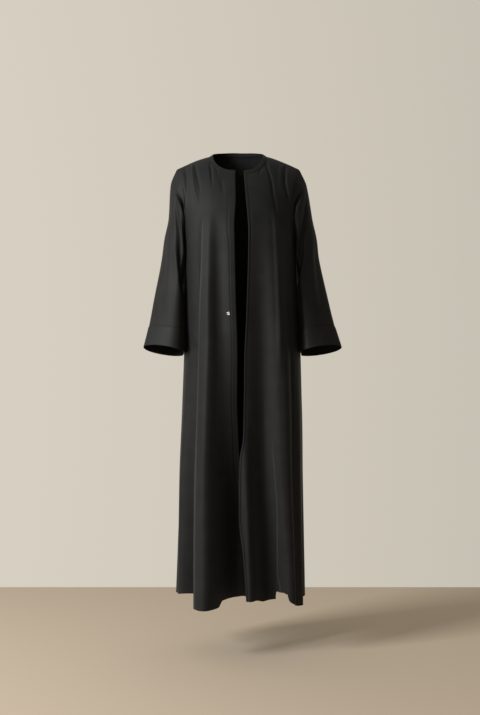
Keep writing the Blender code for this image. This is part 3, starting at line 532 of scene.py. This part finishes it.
# Soft folds of the fronts and the back: which piece, half width, height, the lengths over which the fold
# fades at its top and at its bottom, and its (x, z) from top to bottom
CREASES = (
    # gathers that fall from the right shoulder and the neck
    ("front_right", 0.0110, -0.0026, 0.014, 0.10,
     ((-0.1610, -0.052), (-0.1520, -0.128), (-0.1500, -0.200))),
    ("front_right", 0.0085, 0.0020, 0.014, 0.09,
     ((-0.1405, -0.046), (-0.1331, -0.116), (-0.1219, -0.169), (-0.1144, -0.215))),
    ("front_right", 0.0075, -0.0026, 0.012, 0.09,
     ((-0.1320, -0.043), (-0.1255, -0.076), (-0.1201, -0.102), (-0.1070, -0.175))),
    ("front_right", 0.0065, -0.0028, 0.012, 0.06,
     ((-0.0860, -0.046), (-0.0804, -0.079), (-0.0770, -0.135))),
    ("front_right", 0.0045, -0.0016, 0.008, 0.016,
     ((-0.0665, -0.064), (-0.0575, -0.093))),
    ("front_right", 0.0100, -0.0013, 0.03, 0.05,
     ((-0.0512, -0.090), (-0.0430, -0.165))),
    # gathers that fall from the left shoulder and the neck
    ("front_left", 0.0080, -0.0028, 0.012, 0.09,
     ((0.0845, -0.036), (0.0888, -0.061), (0.1002, -0.106), (0.1053, -0.148),
      (0.1144, -0.199), (0.1189, -0.250))),
    ("front_left", 0.0085, 0.0016, 0.012, 0.06,
     ((0.1294, -0.048), (0.1264, -0.135))),
    ("front_left", 0.0080, -0.0032, 0.012, 0.08,
     ((0.1433, -0.050), (0.1415, -0.106), (0.1490, -0.148), (0.1560, -0.200))),
    ("front_left", 0.0050, -0.0018, 0.008, 0.020,
     ((0.0712, -0.060), (0.0600, -0.096))),
    # the edge of the left front's broad fold, above the knee
    ("front_left", 0.0130, 0.0036, 0.06, 0.20,
     ((0.1035, -0.190), (0.1110, -0.240), (0.1150, -0.317), (0.1190, -0.435),
      (0.1225, -0.582), (0.1250, -0.740))),
    # the back's own gathers, of the same kind
    ("back", 0.0100, -0.0024, 0.014, 0.11,
     ((-0.1440, -0.064), (-0.1500, -0.150), (-0.1590, -0.262))),
    ("back", 0.0085, 0.0019, 0.014, 0.08,
     ((-0.1010, -0.050), (-0.0950, -0.112), (-0.0880, -0.205))),
    ("back", 0.0060, -0.0017, 0.010, 0.04,
     ((-0.0640, -0.046), (-0.0520, -0.101))),
    ("back", 0.0080, -0.0021, 0.012, 0.07,
     ((0.0720, -0.048), (0.0640, -0.105), (0.0590, -0.176))),
    ("back", 0.0095, 0.0022, 0.014, 0.10,
     ((0.1180, -0.053), (0.1240, -0.131), (0.1350, -0.222))),
    ("back", 0.0080, -0.0026, 0.012, 0.08,
     ((0.1500, -0.068), (0.1550, -0.129), (0.1640, -0.203))),
    ("back", 0.0120, 0.0022, 0.10, 0.22,
     ((-0.0300, -0.310), (-0.0360, -0.520), (-0.0450, -0.790))),
    ("back", 0.0120, -0.0024, 0.12, 0.26,
     ((0.0820, -0.430), (0.0900, -0.690), (0.1030, -1.060))),
)

# Pressed edges, raised as a small ridge, along which the cloth's colour is painted lighter as a highlight,
# with the same columns
PRESSED_HEIGHT = 0.0008
PRESSED = (
    ("front_right", 0.0042, PRESSED_HEIGHT, 0.04, 0,
     ((-0.1037, -0.214), (-0.1067, -0.345), (-0.1127, -0.463), (-0.1167, -0.633),
      (-0.1234, -0.909), (-0.1280, -1.207), (-0.1280, -1.380))),
    ("front_left", 0.0032, PRESSED_HEIGHT, 0.10, 0,
     ((0.1010, -0.850), (0.1021, -0.896), (0.1096, -0.997), (0.1157, -1.086),
      (0.1172, -1.273), (0.1247, -1.324), (0.1250, -1.380))),
)

# Soft folds of the sleeves, with the same columns as SLEEVE_FOLDS
SLEEVE_CREASES = (
    ("right_front_groove", -1, 0.05, 0.29, 0.68, 34, 91, 148, 11, 72, -0.0125),
    ("left_front_groove", 1, 0.12, 0.32, 0.56, 26, 96, 152, 14, 80, -0.010),
    ("right_cap_groove", -1, 0.004, 0.04, 0.090, 108, 76, 38, 17, 22, -0.016),
    ("left_cap_groove", 1, 0.004, 0.04, 0.090, 108, 76, 38, 17, 22, -0.014),
)

# The two halves of the snap, as (radius, height) pairs in shares of its solids' sizes, and how many
# segments each is turned in
STUD_SHOWN = (
    (0.86, 0), (0.93, 0.02), (0.98, 0.09), (1.0, 0.20), (1.0, 0.52), (0.985, 0.66), (0.94, 0.77),
    (0.87, 0.81), (0.79, 0.81), (0.72, 0.76), (0.67, 0.64), (0.62, 0.44), (0.56, 0.36), (0.44, 0.35),
    (0.36, 0.38), (0.31, 0.47), (0.29, 0.60), (0.30, 0.74), (0.29, 0.86), (0.25, 0.96), (0.18, 1.0),
    (0.11, 0.97), (0.06, 0.84),
)
SOCKET_SHOWN = (
    (0.88, 0), (0.95, 0.03), (0.99, 0.10), (1.0, 0.18), (1.0, 0.42), (0.97, 0.56), (0.91, 0.67),
    (0.83, 0.70), (0.62, 0.70), (0.55, 0.66), (0.50, 0.58), (0.46, 0.44), (0.42, 0.38), (0.30, 0.37),
    (0.05, 0.37),
)
SNAP_SHOWN_SEGMENTS = 72
UP = (0, 0, 1.0)


def finer(steps, closer):
    """Values from 0 to 1 that are closer together near both ends."""
    even = np.linspace(0, 1, steps + 1)
    return even - closer * (even - (1 - np.cos(math.pi * even)) / 2)


def fine_levels():
    """Levels of the rows of a front or the back, from its hem to its top."""
    low = finer(ROWS_FINE_LOW, CLOSER_LOW)
    turn = np.linspace(0, math.pi, ROWS_FINE_HIGH + 1)[1:]
    return np.concatenate([low, 1 + (1 - np.cos(turn)) / 2])


def ripple(across, down, seed):
    """Small slow unevenness of hanging cloth, at most 1 high, over two lengths in metres."""
    def wave(lengths, k):
        shortest, step, count, stride = lengths
        return 2 * math.pi / (shortest + step * ((k * stride + seed) % count))

    total = np.zeros(np.broadcast(across, down).shape)
    for k in range(RIPPLE_WAVES):
        turn = seed * RIPPLE_SEED_TURN + k * RIPPLE_WAVE_TURN
        wander = RIPPLE_WANDER * np.sin(down * wave(RIPPLE_DOWN, k) + turn)
        total = total + np.sin(across * wave(RIPPLE_ACROSS, k) + math.sin(turn) * RIPPLE_SHIFT + wander)
    return total / RIPPLE_WAVES


def crease_field(creases, points, face):
    """How far soft folds move a front or a back outwards."""
    x, z = points[..., 0], points[..., 2]
    total = np.zeros(x.shape)
    for where, half_width, height, fade_top, fade_bottom, path in creases:
        if where != face:
            continue
        xs, zs = np.array(path)[::-1].T
        lean = (xs[-1] - xs[0]) / (zs[-1] - zs[0])
        distance = (x - curve(zs, xs, z)) / math.hypot(1, lean)
        inside = np.clip((zs[-1] - z) / fade_top, 0, 1)
        if fade_bottom:
            inside = inside * np.clip((z - zs[0]) / fade_bottom, 0, 1)
        total += height * crest(distance / half_width, "soft") * np.sin(inside * math.pi / 2) ** 2
    return total


def body_points(side, face, across, level):
    """The draped cloth of a half front or half back, in the object's frame."""
    points, bearing = undraped(side, face, across, level)
    sideways = unit(np.gradient(points, axis=1))
    upwards = unit(np.gradient(points, axis=0))
    outward = unit(np.cross(sideways, upwards) if face == "front" else np.cross(upwards, sideways))
    out, along = drape(side, bearing, points[..., 2])
    world = points + outward * out[..., None] + sideways * along[..., None]
    world[..., 0] += section("centre", world[..., 2]) * side
    world[..., 0] *= side
    name = face if face == "back" else face + ("_left" if side > 0 else "_right")
    extra = crease_field(CREASES + PRESSED, world, name)
    extra += UNEVEN * ripple(world[..., 0], world[..., 2], BODY_SEEDS[side])
    outward[..., 0] *= side
    return world + outward * extra[..., None]


def facing_out(points, inside):
    """Outward normals of a grid of points, away from a point inside."""
    normal = normals(points)
    middle = points.shape[0] // 2, points.shape[1] // 2
    away = points[middle] - np.array(inside)
    return normal if normal[middle] @ away > 0 else -normal


def run(points, axis):
    """Length along a grid, from its first row or column."""
    steps = np.linalg.norm(np.diff(points, axis=axis), axis=-1)
    pad = [(0, 0), (0, 0)]
    pad[axis] = (1, 0)
    return np.pad(np.cumsum(steps, axis=axis), pad)


def from_edge(points, edge):
    """Length across a grid from one of its four edges."""
    length = run(points, 0 if edge in ("bottom", "top") else 1)
    if edge == "top":
        length = length[-1:, :] - length
    if edge == "end":
        length = length[:, -1:] - length
    return length


def seam_dip(points, seams):
    """The cloth dips into its seams."""
    total = np.zeros(points.shape[:2])
    for edge, depth in seams:
        total = np.maximum(total, depth * np.exp(-((from_edge(points, edge) / SEAM_REACH) ** 2)))
    return -total


def front_seam_shows(points):
    """How much of a front band's seam shows, from 0 at the top to 1."""
    high, low = FRONT_SEAM_SHOWS
    return np.clip((high - points[..., 2]) / (high - low), 0, 1)


def smooth_object(name, points, faces, material):
    """A new object, smooth except where it turns sharply."""
    mesh = bpy.data.meshes.new(name)
    mesh.from_pydata(points, [], faces)
    mesh.validate()
    mesh.shade_smooth()
    mesh.set_sharp_from_angle(angle=SHOWN_SHARP)
    mesh.materials.append(material)
    piece = bpy.data.objects.new(name, mesh)
    bpy.context.scene.collection.objects.link(piece)
    return piece


def wall_faces(rows, columns, closed):
    """Quads of a wall between two grids: both faces, and the rims that join them."""
    count = rows * columns
    spans = columns if closed else columns - 1
    r, c = np.meshgrid(np.arange(rows - 1), np.arange(spans), indexing="ij")
    a = (r * columns + c).ravel()
    b = (r * columns + (c + 1) % columns).ravel()
    front = np.stack([a, b, b + columns, a + columns], axis=1)
    faces = [front, front[:, ::-1] + count]

    def rim(a, b, order):
        faces.append(np.stack([b, a, a + count, b + count], axis=1)[:, ::order])

    c = np.arange(spans)
    for row, order in ((0, 1), (rows - 1, -1)):
        rim(row * columns + c, row * columns + (c + 1) % columns, order)
    if not closed:
        r = np.arange(rows - 1)
        for side_column, order in ((0, -1), (columns - 1, 1)):
            rim(r * columns + side_column, (r + 1) * columns + side_column, order)
    return np.concatenate(faces)


def shell(name, outer, inner, material, closed=False, painted_highlight=None):
    """A thin closed wall between two grids. Its last argument gives how much painted highlight each of its
    points gets, kept as the pressed attribute.
    """
    faces = wall_faces(*outer.shape[:2], closed)
    points = np.concatenate([outer.reshape(-1, 3), inner.reshape(-1, 3)])
    # The faces turn outwards if the wall's volume comes out positive
    tri = np.concatenate([faces[:, [0, 1, 2]], faces[:, [0, 2, 3]]])
    p = points[tri] - points.mean(axis=0)
    if np.einsum("ij,ij->i", p[:, 0], np.cross(p[:, 1], p[:, 2])).sum() < 0:
        faces = faces[:, ::-1]
    piece = smooth_object(name, points.tolist(), faces.tolist(), material)
    if painted_highlight is not None:
        # The share of painted highlight at each point, kept as the attribute that lightens the cloth's colour
        # along pressed edges
        pressed = piece.data.attributes.new("pressed", "FLOAT", "POINT")
        pressed.data.foreach_set("value", np.tile(painted_highlight.ravel(), 2))
    return piece


def front_grid(side):
    """One front with its band, from its centre edge to the side seam."""
    width = FRONT_BAND_LEFT_WIDTH if side > 0 else FRONT_BAND_RIGHT_WIDTH
    level = fine_levels()[:, None]
    coarse = np.linspace(0, 1, MEASURING_COLUMNS)[None, :]
    steps = np.diff(undraped(side, "front", coarse, level)[0], axis=1)
    share = (width / np.linalg.norm(steps, axis=2).sum(axis=1))[:, None]
    band = share * finer(COLUMNS_FINE_BAND, CLOSER_BAND)
    neck = share + (NECK_SHARE - share) * finer(COLUMNS_FINE_NECK, CLOSER_NECK)
    shoulder = NECK_SHARE + (1 - NECK_SHARE) * np.linspace(0, 1, COLUMNS_FINE_SHOULDER + 1)
    across = np.hstack([band, neck[:, 1:], np.tile(shoulder[1:], (len(level), 1))])
    return body_points(side, "front", across, level)


def back_grid():
    """The back, from the wearer's right to the left."""
    level = fine_levels()[:, None]
    neck = NECK_SHARE * np.linspace(0, 1, COLUMNS_BACK_NECK + 1)
    shoulder = NECK_SHARE + (1 - NECK_SHARE) * np.linspace(0, 1, COLUMNS_BACK_SHOULDER + 1)
    across = np.tile(np.concatenate([neck, shoulder[1:]]), (len(level), 1))
    right = body_points(-1, "back", across, level)
    left = body_points(1, "back", across, level)
    return np.concatenate([right[:, ::-1], left[:, 1:]], axis=1)


def half_round(distance, reach):
    """0 at an edge, rising to 1 by the reach, as a rounded edge does."""
    u = np.clip(1 - distance / reach, 0, 1)
    return np.sqrt(np.clip(1 - u**2, 0, 1))


def folded(points, normal, lift, edges, rounding, shows=1):
    """Outer and inner faces of a folded band. Its seam is half pressed flat, and its free edge is round.

    edges names its seam and its free edge. shows is how much of the seam shows.
    """
    size = np.ones(points.shape[:2])
    for edge, reach, least in zip(edges, rounding, (1 - SEAM_THINNER * shows, FREE_EDGE_LEFT)):
        size = size * (least + (1 - least) * half_round(from_edge(points, edge), reach))
    middle = lift - SHOWN_FOLDED / 2
    outer = points + normal * (middle + size * SHOWN_FOLDED / 2)[..., None]
    inner = points + normal * (middle - size * SHOWN_FOLDED / 2)[..., None]
    return outer, inner


def panel(points, normal, seams):
    """Outer and inner faces of a panel, which dips into its seams."""
    outer = points + normal * seam_dip(points, seams)[..., None]
    return outer, outer - normal * SHOWN_CREPE


def sleeve_rim(front, back, side):
    """The armhole, from the shoulder point down the front and up the back."""
    high = slice(ROWS_FINE_LOW, None)
    return np.concatenate([front[high, -1][::-1], back[high, -1 if side > 0 else 0][1:-1]])


def sleeve_points(side, rim):
    """The sleeve's rings with their soft folds, and their outward normals."""
    # The rim's points are even in height, so the turn of each ring follows their length round the hole
    length = run(np.concatenate([rim, rim[:1]])[None], 1)[0]
    half = length[ROWS_FINE_HIGH]
    around = np.where(
        np.arange(len(rim)) <= ROWS_FINE_HIGH,
        math.pi * length[:-1] / half,
        math.pi + math.pi * (length[:-1] - half) / (length[-1] - half),
    )
    along = np.concatenate([
        (1 - CUFF_SHARE) * finer(ROWS_FINE_SLEEVE, CLOSER_SLEEVE),
        (1 - CUFF_SHARE) + CUFF_SHARE * finer(ROWS_FINE_CUFF, CLOSER_CUFF)[1:],
    ])
    points = sleeve_rings(side, rim, around, along)
    degrees = np.degrees(around)[None, :]
    down = along[:, None]
    out = SLEEVE_UNEVEN * ripple(degrees * SLEEVE_AROUND, down * SLEEVE_ALONG, SLEEVE_SEEDS[side])
    out = out * np.clip(down / SLEEVE_UNEVEN_FROM, 0, 1) + sleeve_drape(SLEEVE_CREASES, side, degrees, down)
    points = points + side * ring_normals(points) * out[..., None]
    points[0] = rim
    return points, side * ring_normals(points)


def rise_of_band(side, face, turn):
    """From the neck band's seam to its upper edge."""
    edge, seam = (np.stack(neckline(sizes, side, face, turn), axis=-1) for sizes in (NECK_EDGE, NECK_SEAM))
    return edge - seam


def neck_band_points(grids):
    """The neck band, from the wearer's left front edge round the back to the right."""
    fronts = []
    for face, side in (("front_right", -1), ("front_left", 1)):
        seam = grids[face][-1, :COLUMNS_FINE_BAND + COLUMNS_FINE_NECK + 1]
        start = edge_x(side, "front", np.full(1, NECK_SEAM[4]))
        turn = np.arcsin(np.clip((np.abs(seam[:, 0]) - start) / (NECK_SEAM[0] - start), 0, 1))
        fronts.append((seam, rise_of_band(side, "front", turn) * (side, 1, 1)))
    middle = COLUMNS_BACK_NECK + COLUMNS_BACK_SHOULDER
    seam = grids["back"][-1, middle - COLUMNS_BACK_NECK:middle + COLUMNS_BACK_NECK + 1]
    turn = np.linspace(-1, 1, 2 * COLUMNS_BACK_NECK + 1) * math.pi / 2
    rise = rise_of_band(1, "back", np.abs(turn))
    rise[:, 0] *= np.sign(turn)
    seam, rise = (
        np.concatenate([right[:-1], centre, left[-2::-1]])[::-1]
        for right, centre, left in zip(fronts[0], (seam, rise), fronts[1])
    )
    return seam + rise * finer(ROWS_NECK_BAND, CLOSER_BAND)[:, None, None]


def turned_disc(name, profile, solid, towards, material):
    """A disc turned from a profile of (radius, height) pairs, in the place of its solid."""
    points = np.array([solid.matrix_world @ v.co for v in solid.data.vertices])
    centre = points.mean(axis=0)
    axis = np.linalg.svd(points - centre)[2][2]
    axis = axis * np.sign(axis @ np.array(towards))
    base = centre + axis * ((points - centre) @ axis).min()
    first = unit(np.cross(axis, UP))
    second = np.cross(axis, first)
    turn = 2 * math.pi * np.arange(SNAP_SHOWN_SEGMENTS) / SNAP_SHOWN_SEGMENTS
    spokes = np.cos(turn)[:, None] * first + np.sin(turn)[:, None] * second
    rings = [base + axis * height * SNAP_HEIGHT + spokes * radius * SNAP_RADIUS for radius, height in profile]
    corners = np.arange(SNAP_SHOWN_SEGMENTS)
    after = (corners + 1) % SNAP_SHOWN_SEGMENTS
    faces = [corners[::-1].tolist(), (corners + (len(rings) - 1) * SNAP_SHOWN_SEGMENTS).tolist()]
    for r in range(len(rings) - 1):
        low, high = r * SNAP_SHOWN_SEGMENTS, (r + 1) * SNAP_SHOWN_SEGMENTS
        faces += np.stack([corners + low, after + low, after + high, corners + high], axis=1).tolist()
    return smooth_object(name, np.concatenate(rings).tolist(), faces, material)


def share_seams(pieces):
    """Gives the points that pieces have in common one normal, so that sewn edges meet."""
    points = np.concatenate([grid.reshape(-1, 3) for grid, _ in pieces.values()])
    facing = np.concatenate([normal.reshape(-1, 3) for _, normal in pieces.values()])
    _, same = np.unique(np.round(points * SEWN_STEPS), axis=0, return_inverse=True)
    total = np.zeros((same.max() + 1, 3))
    np.add.at(total, same.ravel(), facing)
    shared = unit(total[same.ravel()])
    start = 0
    for node, (grid, _) in pieces.items():
        count = grid.shape[0] * grid.shape[1]
        pieces[node] = grid, shared[start:start + count].reshape(grid.shape)
        start += count


# --- Materials ---
CREPE_COLOUR = (0.0125, 0.0131, 0.0140)
FOLDED_COLOUR = (0.0118, 0.0124, 0.0133)
STEEL_COLOUR = (0.42, 0.42, 0.41)
# How much lighter the painted highlight along a pressed edge makes the cloth's colour
PAINTED_HIGHLIGHT_TONE = 2.4
# The cloth's slubs: where its tone starts and ends on their noise, and how light it is there
SLUB_TONES = ((0.30, 0.86), (0.72, 1.14))


def crepe_material(name, colour, roughness, grain):
    """Smooth crepe: a fine pebbled weave that breaks up the light, a soft sheen at grazing angles, and a
    painted highlight along pressed edges.
    """
    material = bpy.data.materials.new(name)
    material.use_nodes = True
    nodes, links = material.node_tree.nodes, material.node_tree.links
    shader = nodes["Principled BSDF"]
    shader.inputs["Roughness"].default_value = roughness
    shader.inputs["Specular IOR Level"].default_value = 0.16
    shader.inputs["Sheen Weight"].default_value = 0.02
    shader.inputs["Sheen Roughness"].default_value = 0.45
    shader.inputs["Sheen Tint"].default_value = (0.86, 0.91, 1.0, 1)
    place = nodes.new("ShaderNodeTexCoord")

    def noise(scale, detail):
        texture = nodes.new("ShaderNodeTexNoise")
        texture.inputs["Scale"].default_value = scale
        texture.inputs["Detail"].default_value = detail
        links.new(place.outputs["Object"], texture.inputs["Vector"])
        return texture.outputs["Fac"]

    threads = noise(scale=900, detail=3)
    slubs = noise(scale=22, detail=4)
    tone = nodes.new("ShaderNodeValToRGB")
    for element, (position, light) in zip(tone.color_ramp.elements, SLUB_TONES):
        element.position = position
        element.color = (*[c * light for c in colour], 1)
    links.new(slubs, tone.inputs["Fac"])
    # Painted highlight: along pressed edges, where the pressed attribute marks them, the base colour is
    # lighter
    pressed = nodes.new("ShaderNodeAttribute")
    pressed.attribute_name = "pressed"
    painted_highlight_mix = nodes.new("ShaderNodeMix")
    painted_highlight_mix.data_type = "RGBA"
    painted_highlight_mix.inputs["B"].default_value = (*[c * PAINTED_HIGHLIGHT_TONE for c in colour], 1)
    links.new(pressed.outputs["Fac"], painted_highlight_mix.inputs["Factor"])
    links.new(tone.outputs["Color"], painted_highlight_mix.inputs["A"])
    links.new(painted_highlight_mix.outputs["Result"], shader.inputs["Base Color"])
    bump = nodes.new("ShaderNodeBump")
    bump.inputs["Strength"].default_value = grain
    bump.inputs["Distance"].default_value = 0.0003
    links.new(threads, bump.inputs["Height"])
    links.new(bump.outputs["Normal"], shader.inputs["Normal"])
    return material


def plain_material(name, colour, **values):
    """One colour all over, with some of the shader's values set by their names."""
    material = bpy.data.materials.new(name)
    material.use_nodes = True
    shader = material.node_tree.nodes["Principled BSDF"]
    shader.inputs["Base Color"].default_value = (*colour, 1)
    for value_name, value in values.items():
        shader.inputs[value_name.replace("_", " ")].default_value = value
    return material


# The material of each slot
MATERIALS = {
    "crepe": crepe_material("crepe_cloth", CREPE_COLOUR, roughness=0.60, grain=0.35),
    "folded_crepe": crepe_material("folded_crepe_cloth", FOLDED_COLOUR, roughness=0.57, grain=0.30),
    "snap_steel": plain_material("snap_steel_finish", STEEL_COLOUR, Metallic=1.0, Roughness=0.38),
}

# --- Pieces ---
# Seams of the panels, as their edges and how deep they are pressed
BODY_SEAMS = (("start", SEAM_DEPTH), ("end", SEAM_DEPTH), ("top", NECK_SEAM_DEPTH))
SLEEVE_SEAMS = (("bottom", SEAM_DEPTH), ("top", SEAM_DEPTH))


def place(piece, node, slot):
    """Makes a piece move with the root, in the place of its solid, which it hides. slot is not used."""
    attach(piece, "root")
    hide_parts(node)


def add_cloth(node, faces, slot, closed=False, painted_highlight=None):
    """The cloth of one node, from the grids of its outer and inner faces."""
    place(shell(node + "_cloth", *faces, MATERIALS[slot], closed, painted_highlight), node, slot)


def add_front(word, points, normal):
    """A front panel and its band."""
    face = "front_" + word
    band = slice(0, COLUMNS_FINE_BAND + 1)
    rest = slice(COLUMNS_FINE_BAND, None)
    shows = front_seam_shows(points)
    seams = (("start", SEAM_DEPTH * shows[:, rest]),) + BODY_SEAMS[1:]
    # Share of painted highlight along the pressed edges, from 0 to 1
    painted_highlight = crease_field(PRESSED, points[:, rest], face) / PRESSED_HEIGHT
    add_cloth(face, panel(points[:, rest], normal[:, rest], seams), "crepe", painted_highlight=painted_highlight)
    faces = folded(
        points[:, band], normal[:, band], BAND_LIFT, ("end", "start"), FRONT_BAND_ROUNDING, shows[:, band]
    )
    add_cloth("front_band_" + word, faces, "folded_crepe")


def add_sleeve(word, points, normal):
    """A sleeve and its cuff."""
    upper = slice(0, ROWS_FINE_SLEEVE + 1)
    lower = slice(ROWS_FINE_SLEEVE, None)
    add_cloth("sleeve_" + word, panel(points[upper], normal[upper], SLEEVE_SEAMS), "crepe", closed=True)
    faces = folded(points[lower], normal[lower], CUFF_LIFT, ("bottom", "top"), CUFF_ROUNDING)
    add_cloth("cuff_" + word, faces, "folded_crepe", closed=True)


grids = {"back": back_grid(), "front_right": front_grid(-1), "front_left": front_grid(1)}
pieces = {node: (points, facing_out(points, BODY_INSIDE)) for node, points in grids.items()}
points = neck_band_points(grids)
pieces["neck_band"] = points, facing_out(points, NECK_INSIDE)
for side, word in ((-1, "right"), (1, "left")):
    rim = sleeve_rim(grids["front_" + word], grids["back"], side)
    pieces["sleeve_" + word] = sleeve_points(side, rim)
share_seams(pieces)

add_cloth("back", panel(*pieces["back"], BODY_SEAMS), "crepe")
for word in ("right", "left"):
    add_front(word, *pieces["front_" + word])
    add_sleeve(word, *pieces["sleeve_" + word])
faces = folded(*pieces["neck_band"], BAND_LIFT, ("bottom", "top"), NECK_BAND_ROUNDING)
add_cloth("neck_band", faces, "folded_crepe")

for node, profile, towards in (
    ("snap_stud", STUD_SHOWN, (0, -1, 0)),
    ("snap_socket", SOCKET_SHOWN, (0, 1, 0)),
):
    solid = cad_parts[node]
    place(turned_disc(node + "_steel", profile, solid, towards, MATERIALS["snap_steel"]), node, "snap_steel")

# --- Stage, light and camera ---
FLOOR_COLOUR = (0.56, 0.47, 0.37)
FLOOR_Z = -1.524
FLOOR_END_Y = 0.93
FLOOR_REACH = 9
STUDIO_COLOUR = (1.0, 0.93, 0.80, 1)
STUDIO_GRADIENT = (-0.26, 0.19, 0.0)
STUDIO_LEVEL = 0.44
# The lamp: where it is, what it points at, its width and height, and its power
KEY_PLACE = (-3.2, -2.4, 0.9)
KEY_AIM = (0, -0.1, -0.7)
KEY_SIZE = (1.3, 1.8)
KEY_POWER = 182
# The camera: where it is, and its focal length in pixels of a photo of this height
CAMERA_PLACE = (0.006, -3.74, -0.634)
FOCAL_PIXELS = 1205
PHOTO_HEIGHT = 715
SENSOR = 36

corners = [
    (x, y, FLOOR_Z)
    for x, y in (
        (-FLOOR_REACH, -FLOOR_REACH), (FLOOR_REACH, -FLOOR_REACH),
        (FLOOR_REACH, FLOOR_END_Y), (-FLOOR_REACH, FLOOR_END_Y),
    )
]
paint = plain_material("floor_paint", FLOOR_COLOUR, Roughness=0.9, Specular_IOR_Level=0.1)
smooth_object("floor", corners, [(0, 1, 2, 3)], paint)

# A pale studio, bright behind the cloak and at the wearer's right, and dim at the wearer's left
world = bpy.data.worlds.new("studio")
bpy.context.scene.world = world
world.use_nodes = True
nodes, links = world.node_tree.nodes, world.node_tree.links
way = nodes.new("ShaderNodeTexCoord")
toward = nodes.new("ShaderNodeVectorMath")
toward.operation = "DOT_PRODUCT"
toward.inputs[1].default_value = STUDIO_GRADIENT
level = nodes.new("ShaderNodeMath")
level.operation = "ADD"
level.inputs[1].default_value = STUDIO_LEVEL
links.new(way.outputs["Generated"], toward.inputs[0])
links.new(toward.outputs["Value"], level.inputs[0])
links.new(level.outputs["Value"], nodes["Background"].inputs["Strength"])
nodes["Background"].inputs["Color"].default_value = STUDIO_COLOUR

light = bpy.data.lights.new("key", "AREA")
light.shape = "RECTANGLE"
light.size, light.size_y = KEY_SIZE
light.energy = KEY_POWER
lamp = bpy.data.objects.new("key", light)
x, y, z = np.array(KEY_AIM, float) - np.array(KEY_PLACE, float)
lamp.location = KEY_PLACE
lamp.rotation_euler = (math.atan2(math.hypot(x, y), -z), 0, math.atan2(y, x) - math.pi / 2)
bpy.context.scene.collection.objects.link(lamp)

camera_data = bpy.data.cameras.new("camera")
camera_data.sensor_fit = "AUTO"
camera_data.sensor_width = SENSOR
camera_data.lens = SENSOR * FOCAL_PIXELS / PHOTO_HEIGHT
camera = bpy.data.objects.new("camera", camera_data)
camera.location = CAMERA_PLACE
camera.rotation_euler = (math.pi / 2, 0, 0)
bpy.context.scene.collection.objects.link(camera)
bpy.context.scene.camera = camera
bpy.context.scene.view_settings.view_transform = "Standard"
